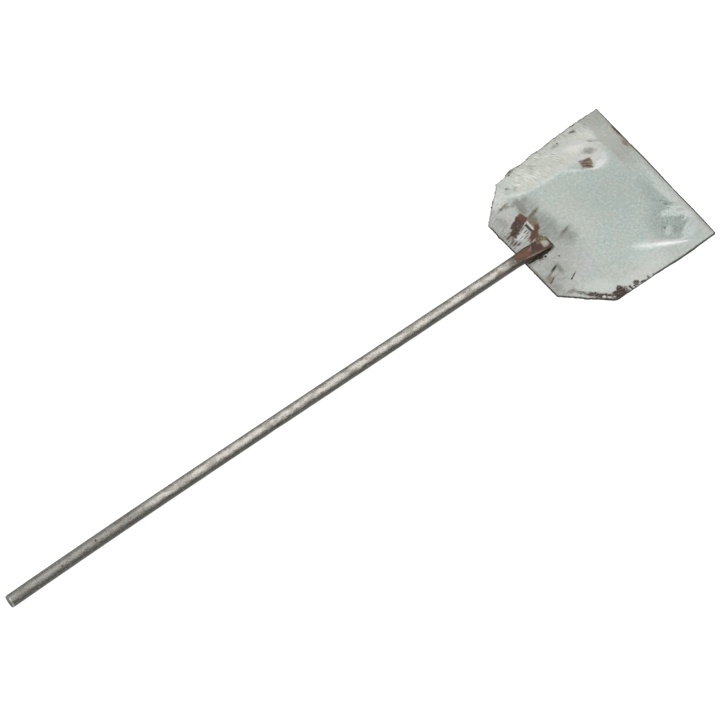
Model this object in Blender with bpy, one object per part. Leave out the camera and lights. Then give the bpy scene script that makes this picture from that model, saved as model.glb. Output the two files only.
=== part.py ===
"""A hand-made scraper shovel: a flat sheet-steel blade welded to a round bar handle.

Frame: metres, +Z up. The origin is on the underside of the blade, on the line of
the handle, halfway between the rear edge and the cutting edge. +X runs from the
handle towards the cutting edge, and +Y is the left side of someone pushing it.
The tool lies flat: the blade rests on z = 0 and the handle's far end touches it.
"""

import math

import bmesh
import bpy
from mathutils import Matrix, Vector

# ------------------------------------------------------------------ blade sizes (m)
# The sheet was cut by hand, so the left and right sides have their own sizes.
SHEET_THICKNESS = 0.0015
BLADE_DEPTH = 0.1430          # rear edge to cutting edge, on the handle's line
CUTTING_EDGE_LEFT = 0.0783    # handle's line to the left end of the cutting edge
CUTTING_EDGE_RIGHT = 0.0757   # handle's line to its right end
SHOULDER_LEFT = 0.0728        # handle's line to where the left side meets its clip
SHOULDER_RIGHT = 0.0753
REAR_EDGE_LEFT = 0.0434       # handle's line to the left end of the rear edge
REAR_EDGE_RIGHT = 0.0432
CLIP_LENGTH_LEFT = 0.0338     # how far each clipped corner runs along the handle
CLIP_LENGTH_RIGHT = 0.0355
CUTTING_EDGE_SKEW = 0.0014    # each end of the cutting edge, ahead or behind square
REAR_EDGE_SKEW = 0.0007

# Length cut back from each corner along both of its edges, to round it off.
CORNER_TRIMS = {
    "front_left": 0.0004,
    "front_right": 0.0015,
    "shoulder_right": 0.0020,
    "rear_right": 0.0010,
    "rear_left": 0.0010,
    "shoulder_left": 0.0060,
}
CORNER_SEGMENTS = 4

# ----------------------------------------------------------------- handle sizes (m)
ROD_DIAMETER = 0.0107
HANDLE_LENGTH = 0.5000        # bare rod behind the blade's rear edge
TONGUE_OVERLAP = 0.0285       # forged end lying on the blade
SCARF_LENGTH = 0.0365         # long sloping face hammered on the end's upper side
TONGUE_TIP_THICKNESS = 0.0025
TONGUE_SPREAD = 0.0004        # how much wider than the rod the hammered tip is
TONGUE_TIP_SQUARENESS = 5.0   # exponent of the tip's section; 2 is a circle
BUTT_ROUNDING = 0.0008
BOW_HEIGHT = 0.0012           # sideways bow of the rod, to the left
BOW_PLACE = 0.28              # share of the handle, from its far end, where it peaks
ROD_SIDES = 32
SHAFT_STATIONS = 14
TONGUE_STATIONS = 12

# ------------------------------------------------------------------- weld sizes (m)
SEAM_GAP = 0.0003             # clearance between pieces that touch
RIGHT_BEAD_START = 0.0010     # from the rear edge
RIGHT_BEAD_SETBACK = 0.0040   # end of the bead, back from the tongue's tip
RIGHT_BEAD_WIDTH = 0.0030
RIGHT_BEAD_HEIGHT = 0.0032
LEFT_BEAD_START = 0.0040
LEFT_BEAD_CLEARANCE = 0.0021  # between the left bead and the tip tack
LEFT_BEAD_WIDTH = 0.0024
LEFT_BEAD_HEIGHT = 0.0028
TIP_TACK_LENGTH = 0.0075
TIP_TACK_WIDTH = 0.0032
TIP_TACK_HEIGHT = 0.0029
TIP_TACK_SETBACK = 0.0004     # end of the tack, back from the tongue's tip
BEAD_RIPPLE = 0.10            # share by which each solidified pool stands proud
BEAD_RIPPLE_PITCH = 0.0040
BEAD_SIDES = 16
BEAD_RINGS = 22

# ------------------------------------------------------------------ derived values
REAR_X = -BLADE_DEPTH / 2.0
FRONT_X = BLADE_DEPTH / 2.0
ROD_RADIUS = ROD_DIAMETER / 2.0
TONGUE_HALF_WIDTH = ROD_RADIUS + TONGUE_SPREAD / 2.0
SCARF_START = TONGUE_OVERLAP - SCARF_LENGTH    # from the rear edge, like the stations
SEAT_Z = SHEET_THICKNESS + SEAM_GAP
# The handle droops from its seat on the blade so that its far end meets z = 0.
DROOP = math.asin(SEAT_Z / HANDLE_LENGTH)
PLANE_TOLERANCE = 1.0e-7

# Colour, roughness and metallic value of each piece.
GALVANISED_SHEET = ((0.47, 0.52, 0.50, 1.0), 0.45, 0.55)
BARE_ROD_STEEL = ((0.24, 0.23, 0.21, 1.0), 0.50, 0.85)
BURNT_WELD_STEEL = ((0.08, 0.05, 0.04, 1.0), 0.60, 0.60)
TINTED_TACK_STEEL = ((0.32, 0.30, 0.16, 1.0), 0.45, 0.70)


def clear_scene():
    """Remove whatever objects the file starts with."""
    for scene_object in list(bpy.data.objects):
        bpy.data.objects.remove(scene_object, do_unlink=True)


def make_material(name, finish):
    """Return a plain Principled material with a colour, roughness and metallic value."""
    colour, roughness, metallic = finish
    material = bpy.data.materials.new(name)
    material.use_nodes = True
    shader = material.node_tree.nodes["Principled BSDF"]
    shader.inputs["Base Color"].default_value = colour
    shader.inputs["Roughness"].default_value = roughness
    shader.inputs["Metallic"].default_value = metallic
    return material


def add_piece(name, bm, finish, parent):
    """Turn a bmesh into a named object under the tool's empty and return it."""
    bmesh.ops.recalc_face_normals(bm, faces=bm.faces[:])
    mesh = bpy.data.meshes.new(name)
    bm.to_mesh(mesh)
    bm.free()
    mesh.materials.append(make_material(name, finish))
    mesh.shade_smooth()
    mesh.set_sharp_from_angle(angle=math.radians(35.0))
    piece = bpy.data.objects.new(name, mesh)
    bpy.context.scene.collection.objects.link(piece)
    piece.parent = parent
    return piece


def cut_flat(bm, point, normal):
    """Cut away what lies beyond a plane and close the cut with one face."""
    geometry = bm.verts[:] + bm.edges[:] + bm.faces[:]
    bmesh.ops.bisect_plane(
        bm,
        geom=geometry,
        dist=PLANE_TOLERANCE,
        plane_co=point,
        plane_no=normal,
        clear_outer=True,
    )
    rim = [edge for edge in bm.edges if edge.is_boundary]
    bmesh.ops.contextual_create(bm, geom=rim)


# ---------------------------------------------------------------------------- blade
def blade_corners():
    """Return the outline's six named corners, anticlockwise from the front left."""
    return {
        "front_left": (FRONT_X + CUTTING_EDGE_SKEW, CUTTING_EDGE_LEFT),
        "shoulder_left": (REAR_X - REAR_EDGE_SKEW + CLIP_LENGTH_LEFT, SHOULDER_LEFT),
        "rear_left": (REAR_X - REAR_EDGE_SKEW, REAR_EDGE_LEFT),
        "rear_right": (REAR_X + REAR_EDGE_SKEW, -REAR_EDGE_RIGHT),
        "shoulder_right": (REAR_X + REAR_EDGE_SKEW + CLIP_LENGTH_RIGHT, -SHOULDER_RIGHT),
        "front_right": (FRONT_X - CUTTING_EDGE_SKEW, -CUTTING_EDGE_RIGHT),
    }


def build_blade(parent):
    """Cut the sheet's outline, round its corners and give it its thickness."""
    bm = bmesh.new()
    corners = {}
    for name, (x, y) in blade_corners().items():
        corners[name] = bm.verts.new((x, y, 0.0))
    bm.faces.new(list(corners.values()))
    for name, corner in corners.items():
        bmesh.ops.bevel(
            bm,
            geom=[corner],
            affect="VERTICES",
            offset=CORNER_TRIMS[name],
            segments=CORNER_SEGMENTS,
            profile=0.5,
            material=-1,
        )
    raised = bmesh.ops.extrude_face_region(bm, geom=bm.faces[:], use_keep_orig=True)
    top = [item for item in raised["geom"] if isinstance(item, bmesh.types.BMVert)]
    bmesh.ops.translate(bm, verts=top, vec=(0.0, 0.0, SHEET_THICKNESS))
    return add_piece("blade", bm, GALVANISED_SHEET, parent)


# --------------------------------------------------------------------------- handle
def rod_stations():
    """Return the distances along the rod, from the rear edge, of its sections."""
    shaft_step = (SCARF_START + HANDLE_LENGTH) / SHAFT_STATIONS
    tongue_step = SCARF_LENGTH / TONGUE_STATIONS
    shaft = [-HANDLE_LENGTH + shaft_step * i for i in range(SHAFT_STATIONS)]
    tongue = [SCARF_START + tongue_step * i for i in range(TONGUE_STATIONS + 1)]
    return shaft + tongue


def rod_bow(x):
    """Return the rod's sideways bow at a distance from the rear edge."""
    share = (x + HANDLE_LENGTH) / HANDLE_LENGTH
    if share >= 1.0:
        return 0.0
    if share < BOW_PLACE:
        return BOW_HEIGHT * math.sin(0.5 * math.pi * share / BOW_PLACE)
    return BOW_HEIGHT * 0.5 * (1.0 + math.cos(math.pi * (share - BOW_PLACE) / (1.0 - BOW_PLACE)))


def forged_section(x, y, z):
    """Move a point of the round section to its place on the hammered end."""
    share = min(1.0, max(0.0, (x - SCARF_START) / SCARF_LENGTH))
    squareness = 2.0 + (TONGUE_TIP_SQUARENESS - 2.0) * share
    angle = math.atan2(z, y)
    across = abs(math.cos(angle)) ** (2.0 / squareness)
    upward = abs(math.sin(angle)) ** (2.0 / squareness)
    half_width = ROD_RADIUS + (TONGUE_HALF_WIDTH - ROD_RADIUS) * share
    y_new = math.copysign(half_width * across, y)
    z_new = math.copysign(ROD_RADIUS * upward, z)
    return y_new, z_new


def build_handle_rod(parent):
    """Draw the round bar along its stations, forge its end and slope the scarf."""
    stations = rod_stations()
    bm = bmesh.new()
    to_section = Matrix.Rotation(math.radians(90.0), 4, "Y")
    first = Matrix.Translation((stations[0], 0.0, 0.0)) @ to_section
    bmesh.ops.create_circle(
        bm, cap_ends=True, radius=ROD_RADIUS, segments=ROD_SIDES, matrix=first
    )
    rim = bm.edges[:]
    for previous, station in zip(stations, stations[1:]):
        grown = bmesh.ops.extrude_edge_only(bm, edges=rim)["geom"]
        ring = [item for item in grown if isinstance(item, bmesh.types.BMVert)]
        bmesh.ops.translate(bm, verts=ring, vec=(station - previous, 0.0, 0.0))
        ring_set = set(ring)
        rim = [
            item
            for item in grown
            if isinstance(item, bmesh.types.BMEdge) and ring_set.issuperset(item.verts)
        ]
    bmesh.ops.contextual_create(bm, geom=rim)

    butt_rim = [
        edge
        for edge in bm.edges
        if all(abs(vert.co.x - stations[0]) < PLANE_TOLERANCE for vert in edge.verts)
    ]
    bmesh.ops.bevel(
        bm,
        geom=butt_rim,
        affect="EDGES",
        offset=BUTT_ROUNDING,
        segments=3,
        profile=0.5,
        material=-1,
    )
    for vert in bm.verts:
        x = vert.co.x
        if x > SCARF_START + PLANE_TOLERANCE:
            vert.co.y, vert.co.z = forged_section(x, vert.co.y, vert.co.z)
        vert.co.y += rod_bow(x)

    scarf_fall = ROD_DIAMETER - TONGUE_TIP_THICKNESS
    scarf_slope = Vector((scarf_fall, 0.0, SCARF_LENGTH)).normalized()
    cut_flat(bm, Vector((SCARF_START, 0.0, ROD_RADIUS)), scarf_slope)

    rod = add_piece("handle_rod", bm, BARE_ROD_STEEL, parent)
    rod.location = (REAR_X, 0.0, SEAT_Z + ROD_RADIUS / math.cos(DROOP))
    rod.rotation_euler = (0.0, -DROOP, 0.0)
    return rod


# ---------------------------------------------------------------------------- welds
def build_bead(name, side, start, end, width, height, finish, parent):
    """Lay one weld bead in the corner between the blade and the forged end.

    side is +1 for the left of the handle and -1 for the right. start and end are
    measured from the rear edge. The bead is a rippled quarter-round that ends in
    the blade's upper face below and in the side of the forged end, each a seam
    gap away.
    """
    length = end - start
    bm = bmesh.new()
    along_x = Matrix.Rotation(math.radians(90.0), 4, "Y")
    bmesh.ops.create_uvsphere(
        bm, u_segments=BEAD_SIDES, v_segments=BEAD_RINGS, radius=1.0, matrix=along_x
    )
    for vert in bm.verts:
        distance = 0.5 * length * (1.0 + vert.co.x)
        ripple = 1.0 + BEAD_RIPPLE * math.sin(2.0 * math.pi * distance / BEAD_RIPPLE_PITCH)
        vert.co.x *= 0.5 * length
        vert.co.y *= width * ripple
        vert.co.z *= height * ripple
    cut_flat(bm, Vector((0.0, 0.0, 0.0)), Vector((0.0, 0.0, -1.0)))
    cut_flat(bm, Vector((0.0, 0.0, 0.0)), Vector((0.0, -side, 0.0)))
    bead = add_piece(name, bm, finish, parent)
    wall_y = side * (TONGUE_HALF_WIDTH + SEAM_GAP)
    bead.location = (REAR_X + start + 0.5 * length, wall_y, SEAT_Z)
    return bead


def build_welds(parent):
    """Lay the two side beads and the tack on the left corner of the tip."""
    right_end = TONGUE_OVERLAP - RIGHT_BEAD_SETBACK
    tack_end = TONGUE_OVERLAP - TIP_TACK_SETBACK
    tack_start = tack_end - TIP_TACK_LENGTH
    left_end = tack_start - LEFT_BEAD_CLEARANCE
    build_bead(
        "weld_bead_right", -1.0, RIGHT_BEAD_START, right_end,
        RIGHT_BEAD_WIDTH, RIGHT_BEAD_HEIGHT, BURNT_WELD_STEEL, parent,
    )
    build_bead(
        "weld_bead_left", 1.0, LEFT_BEAD_START, left_end,
        LEFT_BEAD_WIDTH, LEFT_BEAD_HEIGHT, BURNT_WELD_STEEL, parent,
    )
    build_bead(
        "weld_tack_tip", 1.0, tack_start, tack_end,
        TIP_TACK_WIDTH, TIP_TACK_HEIGHT, TINTED_TACK_STEEL, parent,
    )


def main():
    """Build the whole tool."""
    clear_scene()
    tool = bpy.data.objects.new("scraper_shovel", None)
    bpy.context.scene.collection.objects.link(tool)
    build_blade(tool)
    build_handle_rod(tool)
    build_welds(tool)


main()
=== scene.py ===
"""Looks of a hand-made scraper shovel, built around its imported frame.

The blade, the round handle and the welds of the frame are each replaced by a finer
mesh in the same place, with its own procedural finish. Blade places are given in
millimetres: x from the rear edge towards the cutting edge, and y from the handle's
line, positive to the left.
"""

from __future__ import annotations

import logging
import math
import random
from dataclasses import dataclass, field
from enum import Enum
from typing import Iterable, Mapping, Sequence, Union

import bmesh
import bpy
import numpy as np
from mathutils import Euler, Matrix, Vector, noise


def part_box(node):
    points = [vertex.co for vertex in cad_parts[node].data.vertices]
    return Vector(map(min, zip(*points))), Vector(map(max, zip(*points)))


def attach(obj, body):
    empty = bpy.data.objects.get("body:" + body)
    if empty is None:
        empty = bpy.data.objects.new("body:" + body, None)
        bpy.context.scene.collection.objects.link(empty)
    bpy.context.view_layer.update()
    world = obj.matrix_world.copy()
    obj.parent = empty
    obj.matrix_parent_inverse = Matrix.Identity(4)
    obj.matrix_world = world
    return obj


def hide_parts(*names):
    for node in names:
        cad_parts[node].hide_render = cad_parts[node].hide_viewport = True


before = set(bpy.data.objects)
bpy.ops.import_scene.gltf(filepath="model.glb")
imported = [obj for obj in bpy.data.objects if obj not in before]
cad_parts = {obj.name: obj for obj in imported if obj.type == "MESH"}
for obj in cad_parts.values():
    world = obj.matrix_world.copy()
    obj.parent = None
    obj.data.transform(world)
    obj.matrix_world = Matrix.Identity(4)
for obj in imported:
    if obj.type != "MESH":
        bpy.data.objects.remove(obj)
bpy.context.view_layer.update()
REAR_EDGE = -0.0715  # X of the blade's rear edge, in metres
MARKS_ORIGIN = (-0.5, -0.1)  # where the sheet's marks count from, in blade millimetres

LOG = logging.getLogger("scraper_shovel")
MM = 0.001
BODY = "root"
AHEAD = (1.0, 0.0, 0.0)
LEFTWARD = (0.0, 1.0, 0.0)
LEFT_CLIP_OUTWARD = (-0.669, 0.743, 0.0)
RED_CHANNEL = (1.0, 0.0, 0.0)
SEAM_GAP = 0.3  # between the sheet and the bar, in millimetres
# Attributes of the meshes that the finishes read.
RIM_DISTANCE = "rim_distance"
SHEET_PLACE = "sheet_place"
ROUND_PLACE = "round_place"

Colour = tuple[float, float, float, float]


def paint(red: int, green: int, blue: int, gain: float = 1.0) -> Colour:
    """Turn an 8-bit screen colour into a linear base colour.

    Args:
        red: Red as seen under the studio light, 0 to 255.
        green: Green, the same.
        blue: Blue, the same.
        gain: How much brighter than its base colour the surface looks when lit.

    Returns:
        The linear colour with an alpha of 1.
    """

    def linear(value: int) -> float:
        """Turn one of the three screen values into a linear share."""
        share = value / 255.0
        if share <= 0.04045:
            return share / 12.92
        return ((share + 0.055) / 1.055) ** 2.4

    return (linear(red) / gain, linear(green) / gain, linear(blue) / gain, 1.0)


# ------------------------------------------------------------------ shader building
class Socket:
    """A node's output that takes part in Python expressions."""

    def __init__(self, nodes: "NodeBench", socket: bpy.types.NodeSocket) -> None:
        """Keep the socket and the bench it belongs to."""
        self.nodes = nodes
        self.socket = socket


class Value(Socket):
    """A single number that varies over the surface."""

    def math(self, operation: str, other: "Operand" = 0.0, swapped: bool = False) -> "Value":
        """Add a Math node.

        Args:
            operation: The Math node's operation.
            other: The second operand.
            swapped: Whether this value is the second operand instead of the first.

        Returns:
            The node's result.
        """
        pair = (other, self) if swapped else (self, other)
        inputs = {0: pair[0], 1: pair[1]}
        node = self.nodes.add("ShaderNodeMath", {"operation": operation}, inputs)
        return Value(self.nodes, node.outputs[0])

    def __add__(self, other: "Operand") -> "Value":
        """Return self + other."""
        return self.math("ADD", other)

    def __radd__(self, other: "Operand") -> "Value":
        """Return other + self."""
        return self.math("ADD", other, swapped=True)

    def __sub__(self, other: "Operand") -> "Value":
        """Return self - other."""
        return self.math("SUBTRACT", other)

    def __rsub__(self, other: "Operand") -> "Value":
        """Return other - self."""
        return self.math("SUBTRACT", other, swapped=True)

    def __mul__(self, other: "Operand") -> "Value":
        """Return self * other."""
        return self.math("MULTIPLY", other)

    def __rmul__(self, other: "Operand") -> "Value":
        """Return other * self."""
        return self.math("MULTIPLY", other, swapped=True)

    def highest(self, other: "Operand") -> "Value":
        """Return the larger of self and other."""
        return self.math("MAXIMUM", other)

    def ramp(self, start: float, end: float, low: float = 0.0, high: float = 1.0) -> "Value":
        """Ease from low to high while this value goes from start to end.

        Args:
            start: Where the ease begins; it may be above end.
            end: Where it is complete.
            low: The result before start.
            high: The result past end.

        Returns:
            The eased value.
        """
        if start > end:
            start, end, low, high = end, start, high, low
        node = self.nodes.add(
            "ShaderNodeMapRange",
            {"interpolation_type": "SMOOTHSTEP", "clamp": False},
            {0: self, 1: start, 2: end, 3: low, 4: high},
        )
        return Value(self.nodes, node.outputs[0])


class Place(Socket):
    """A vector that varies over the surface, such as a coordinate."""

    def math(self, operation: str, other: object = (0.0, 0.0, 0.0)) -> "Place":
        """Add a Vector Math node whose result is a vector.

        Args:
            operation: The node's operation.
            other: The second vector.

        Returns:
            The node's vector.
        """
        node = self.nodes.add("ShaderNodeVectorMath", {"operation": operation}, {0: self, 1: other})
        return Place(self.nodes, node.outputs[0])

    def __add__(self, other: object) -> "Place":
        """Return self + other."""
        return self.math("ADD", other)

    def __mul__(self, other: object) -> "Place":
        """Return self * other, component by component."""
        return self.math("MULTIPLY", other)

    def distance(self, other: Sequence[float]) -> Value:
        """Return the distance to a fixed place."""
        node = self.nodes.add(
            "ShaderNodeVectorMath", {"operation": "DISTANCE"}, {0: self, 1: tuple(other)}
        )
        return Value(self.nodes, node.outputs[1])

    def along(self, direction: Sequence[float]) -> Value:
        """Return the dot product with a fixed direction."""
        node = self.nodes.add(
            "ShaderNodeVectorMath", {"operation": "DOT_PRODUCT"}, {0: self, 1: tuple(direction)}
        )
        return Value(self.nodes, node.outputs[1])

    def within(self, centre: Sequence[float], turn: float, half: Sequence[float]) -> "Place":
        """Express the place in the frame of a turned box.

        Args:
            centre: The box's centre.
            turn: Its turn about Z, in degrees.
            half: Its half sizes, which become one unit each.

        Returns:
            The place in that frame.
        """
        node = self.nodes.add(
            "ShaderNodeMapping",
            {"vector_type": "TEXTURE"},
            {0: self, 1: tuple(centre), 2: (0.0, 0.0, math.radians(turn)), 3: tuple(half)},
        )
        return Place(self.nodes, node.outputs[0])

    def noise(self, scale: float, detail: float = 3.0, roughness: float = 0.5) -> Value:
        """Return fractal noise at this place, about 0.5 on average.

        Args:
            scale: Features per unit of the place.
            detail: Octaves.
            roughness: Share that each octave keeps.

        Returns:
            The noise value.
        """
        return Value(self.nodes, self._noise_node(scale, detail, roughness).outputs[0])

    def noise_shift(self, scale: float, reach: float, detail: float = 2.0) -> "Place":
        """Return this place, wandered by noise.

        Args:
            scale: Features per unit of the place.
            reach: About how far a point may wander.
            detail: Octaves of the noise.

        Returns:
            The wandered place.
        """
        node = self._noise_node(scale, detail, 0.5)
        drift = Place(self.nodes, node.outputs[1]) + (-0.5, -0.5, -0.5)
        return self + drift * (2.0 * reach, 2.0 * reach, 0.0)

    def _noise_node(self, scale: float, detail: float, roughness: float) -> bpy.types.Node:
        """Add a Noise Texture node at this place."""
        settings = {"noise_dimensions": "3D"}
        inputs = {"Vector": self, "Scale": scale, "Detail": detail, "Roughness": roughness}
        return self.nodes.add("ShaderNodeTexNoise", settings, inputs)

    def spots(self, scale: float, size: float, share: float) -> Value:
        """Return scattered soft round spots.

        Args:
            scale: Cells per unit of the place.
            size: A spot's reach, as a share of a cell.
            share: The share of cells that hold a spot.

        Returns:
            1 in a spot and 0 between them.
        """
        node = self.nodes.add(
            "ShaderNodeTexVoronoi", {"feature": "F1"}, {"Vector": self, "Scale": scale}
        )
        near = Value(self.nodes, node.outputs["Distance"]).ramp(size, 0.35 * size)
        chance = Place(self.nodes, node.outputs["Color"]).along(RED_CHANNEL)
        return near * chance.ramp(1.0 - share, 1.0 - 0.8 * share)


Operand = Union[float, Value]


class NodeBench:
    """Builds one material's node tree."""

    def __init__(self, name: str) -> None:
        """Start an empty material of that name."""
        self.material = bpy.data.materials.new(name)
        self.material.use_nodes = True
        self.tree = self.material.node_tree
        self.tree.nodes.clear()

    def add(
        self, kind: str, settings: Mapping[str, object], inputs: Mapping[object, object]
    ) -> bpy.types.Node:
        """Add a node.

        Args:
            kind: The node's type.
            settings: Its properties, which are set first.
            inputs: For each input, by name or number, a value or a Socket to link.

        Returns:
            The new node.
        """
        node = self.tree.nodes.new(kind)
        for name, setting in settings.items():
            setattr(node, name, setting)
        for key, value in inputs.items():
            if isinstance(value, Socket):
                self.tree.links.new(value.socket, node.inputs[key])
            else:
                node.inputs[key].default_value = value
        return node

    def object_place(self) -> Place:
        """Return the object coordinates, in metres."""
        return Place(self, self.add("ShaderNodeTexCoord", {}, {}).outputs["Object"])

    def blade_place(self) -> Place:
        """Return object coordinates in millimetres from the rear edge and the handle's line."""
        scaled = self.object_place() * (1.0 / MM, 1.0 / MM, 1.0 / MM)
        return scaled + (-REAR_EDGE / MM, 0.0, 0.0)

    def sheet_place(self) -> Place:
        """Return the place on the sheet before it was bent, in blade millimetres."""
        return self.attribute_place(SHEET_PLACE)

    def attribute_value(self, name: str) -> Value:
        """Return a number stored on the mesh."""
        node = self.add("ShaderNodeAttribute", {"attribute_name": name}, {})
        return Value(self, node.outputs["Fac"])

    def attribute_place(self, name: str) -> Place:
        """Return a vector stored on the mesh."""
        node = self.add("ShaderNodeAttribute", {"attribute_name": name}, {})
        return Place(self, node.outputs["Vector"])

    def pair(self, first: Value, second: Value) -> Place:
        """Put two numbers side by side in a flat place."""
        return Place(self, self.add("ShaderNodeCombineXYZ", {}, {0: first, 1: second}).outputs[0])

    def mix_colour(self, share: Operand, first: object, second: object) -> Place:
        """Blend two colours.

        Args:
            share: 0 for the first colour and 1 for the second.
            first: A colour or a Socket.
            second: A colour or a Socket.

        Returns:
            The blended colour.
        """
        node = self.add("ShaderNodeMix", {"data_type": "RGBA"}, {0: share, 6: first, 7: second})
        return Place(self, node.outputs[2])

    def mix_value(self, share: Operand, first: Operand, second: Operand) -> Value:
        """Blend two numbers, as mix_colour does."""
        node = self.add("ShaderNodeMix", {"data_type": "FLOAT"}, {0: share, 2: first, 3: second})
        return Value(self, node.outputs[0])

    def finish(
        self,
        colour: object,
        roughness: Operand,
        metallic: Operand,
        height: Value,
        bump_depth: float,
        bump_strength: float = 1.0,
        gloss: float = 0.3,
    ) -> bpy.types.Material:
        """Close the tree with a Principled shader and a bump.

        Args:
            colour: Base colour.
            roughness: Roughness.
            metallic: Metallic value.
            height: The bump's height, in units of bump_depth.
            bump_depth: The bump's depth in metres.
            bump_strength: The bump's strength.
            gloss: The shader's specular level.

        Returns:
            The finished material.
        """
        bump = self.add(
            "ShaderNodeBump",
            {},
            {"Height": height, "Distance": bump_depth, "Strength": bump_strength},
        )
        shader = self.add(
            "ShaderNodeBsdfPrincipled",
            {},
            {
                "Base Color": colour,
                "Roughness": roughness,
                "Metallic": metallic,
                "Specular IOR Level": gloss,
                "Normal": Place(self, bump.outputs[0]),
            },
        )
        output = self.add("ShaderNodeOutputMaterial", {}, {})
        self.tree.links.new(shader.outputs[0], output.inputs[0])
        return self.material


# -------------------------------------------------------------- marks on the surface
@dataclass(frozen=True)
class Patch:
    """A rounded area of the surface.

    Attributes:
        x: Centre, in millimetres from the blade's rear edge.
        y: Centre, in millimetres to the left of the handle's line.
        length: Length in millimetres, along its own turned axis.
        width: Width in millimetres.
        turn: Turn of its length from the handle's direction, in degrees.
        strength: How much of the mark shows in its middle.
        edge: Softness of its rim, as a share of its half size.
        square: Whether it has straight sides instead of an oval outline.
    """

    x: float
    y: float
    length: float
    width: float
    turn: float = 0.0
    strength: float = 1.0
    edge: float = 0.35
    square: bool = False

    def mask(self, place: Place) -> Value:
        """Return the patch's mask at a place in blade millimetres."""
        turn = math.radians(self.turn)
        along = Vector((math.cos(turn), math.sin(turn), 0.0)) / (0.5 * self.length)
        across = Vector((-math.sin(turn), math.cos(turn), 0.0)) / (0.5 * self.width)
        middle = Vector((self.x, self.y, 0.0))
        if self.square:
            lengthwise = (place.along(along) - middle.dot(along)).math("ABSOLUTE")
            reach = lengthwise.highest((place.along(across) - middle.dot(across)).math("ABSOLUTE"))
        else:
            own_middle = (middle.dot(along), middle.dot(across), 0.0)
            reach = place.nodes.pair(place.along(along), place.along(across)).distance(own_middle)
        return reach.ramp(1.0 + self.edge, max(0.0, 1.0 - self.edge), 0.0, self.strength)


def stroke(
    start: tuple[float, float],
    end: tuple[float, float],
    width: float,
    strength: float = 1.0,
    edge: float = 0.5,
) -> Patch:
    """Return a slim patch between two points.

    Args:
        start: One end, in blade millimetres.
        end: The other end.
        width: The stroke's width in millimetres.
        strength: How much of the mark shows in its middle.
        edge: Softness of its rim.

    Returns:
        The patch.
    """
    run = (end[0] - start[0], end[1] - start[1])
    middle = (0.5 * (start[0] + end[0]), 0.5 * (start[1] + end[1]))
    turn = math.degrees(math.atan2(run[1], run[0]))
    return Patch(middle[0], middle[1], math.hypot(*run), width, turn, strength, edge)


@dataclass(frozen=True)
class Layer:
    """One colour laid over the surface in a set of patches.

    Attributes:
        colour: The colour as seen under the studio light, 0 to 255.
        patches: Where it lies.
        gain: See paint().
        wobble: How far the patches' outlines wander, in millimetres.
        grain: Features per millimetre, along x and y, of the noise that breaks the layer up.
        broken: How much of the layer the noise takes away, from 0 to 1.
        roughness: Roughness of the layer.
        metallic: Metallic value of the layer.
        relief: Height that the layer adds, in units of the finish's bump.
    """

    colour: tuple[int, int, int]
    patches: tuple[Patch, ...]
    gain: float = 1.6
    wobble: float = 0.6
    grain: tuple[float, float] = (1.0, 1.0)
    broken: float = 0.4
    roughness: float = 0.6
    metallic: float = 0.2
    relief: float = 0.0


def united(patches: Sequence[Patch], place: Place) -> Value:
    """Return the mask of all the patches together at a place."""
    mask = patches[0].mask(place)
    for patch in patches[1:]:
        mask = mask.highest(patch.mask(place))
    return mask


def unbroken(place: Place, layer: Layer, bare: float, full: float) -> Value:
    """Return how much of a layer its noise leaves.

    Args:
        place: The place in blade millimetres.
        layer: The layer.
        bare: The noise value below which the layer is most broken.
        full: The noise value above which it is whole.

    Returns:
        1 where the layer is whole.
    """
    bite = (place * (*layer.grain, 1.0)).noise(1.0, 4.0, 0.65).ramp(bare, full)
    return 1.0 - layer.broken * (1.0 - bite)


OUTLINE_WANDER = 0.42  # wanderings per millimetre of a patch's outline
OUTLINE_DETAIL = 4.0  # octaves of that noise


class Surface:
    """The running colour, roughness, metallic value and height of a finish."""

    def __init__(
        self, bench: NodeBench, colour: object, roughness: Operand, metallic: Operand, height: Value
    ) -> None:
        """Start from the bare surface."""
        self.bench = bench
        self.colour = colour
        self.roughness = roughness
        self.metallic = metallic
        self.height = height

    def lay(self, mask: Value, layer: Layer) -> None:
        """Lay a layer over the surface where the mask is 1."""
        tint = paint(*layer.colour, gain=layer.gain)
        self.colour = self.bench.mix_colour(mask, self.colour, tint)
        self.roughness = self.bench.mix_value(mask, self.roughness, layer.roughness)
        self.metallic = self.bench.mix_value(mask, self.metallic, layer.metallic)
        if layer.relief:
            self.height = self.height + mask * layer.relief

    def lay_patches(self, place: Place, layer: Layer) -> None:
        """Lay a layer in its own patches.

        Args:
            place: The place in blade millimetres.
            layer: The layer.
        """
        wandered = place.noise_shift(OUTLINE_WANDER, layer.wobble, OUTLINE_DETAIL)
        self.lay(united(layer.patches, wandered) * unbroken(place, layer, 0.44, 0.56), layer)

    def finish(self, bump_depth: float, bump_strength: float, gloss: float = 0.3) -> bpy.types.Material:
        look = (self.colour, self.roughness, self.metallic, self.height)
        return self.bench.finish(*look, bump_depth, bump_strength, gloss)


# ----------------------------------------------------------------- mesh and placing
def ease(share: float) -> float:
    """Clamp a share to 0 to 1 and ease it at both ends."""
    share = min(1.0, max(0.0, share))
    return share * share * (3.0 - 2.0 * share)


def sheet_top() -> float:
    """Return the height of the sheet's upper face over the floor, in metres."""
    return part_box("blade")[1].z


def add_object(name: str, data: bpy.types.ID) -> bpy.types.Object:
    """Add an object with that name and data to the scene."""
    item = bpy.data.objects.new(name, data)
    bpy.context.scene.collection.objects.link(item)
    return item


def only(kind: type, geometry: Iterable[object]) -> list:
    """Return the items of one kind, such as the vertices, of a bmesh result."""
    return [item for item in geometry if isinstance(item, kind)]


def everything(bm: bmesh.types.BMesh) -> list:
    """Return all vertices, edges and faces of a mesh."""
    return bm.verts[:] + bm.edges[:] + bm.faces[:]


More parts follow.
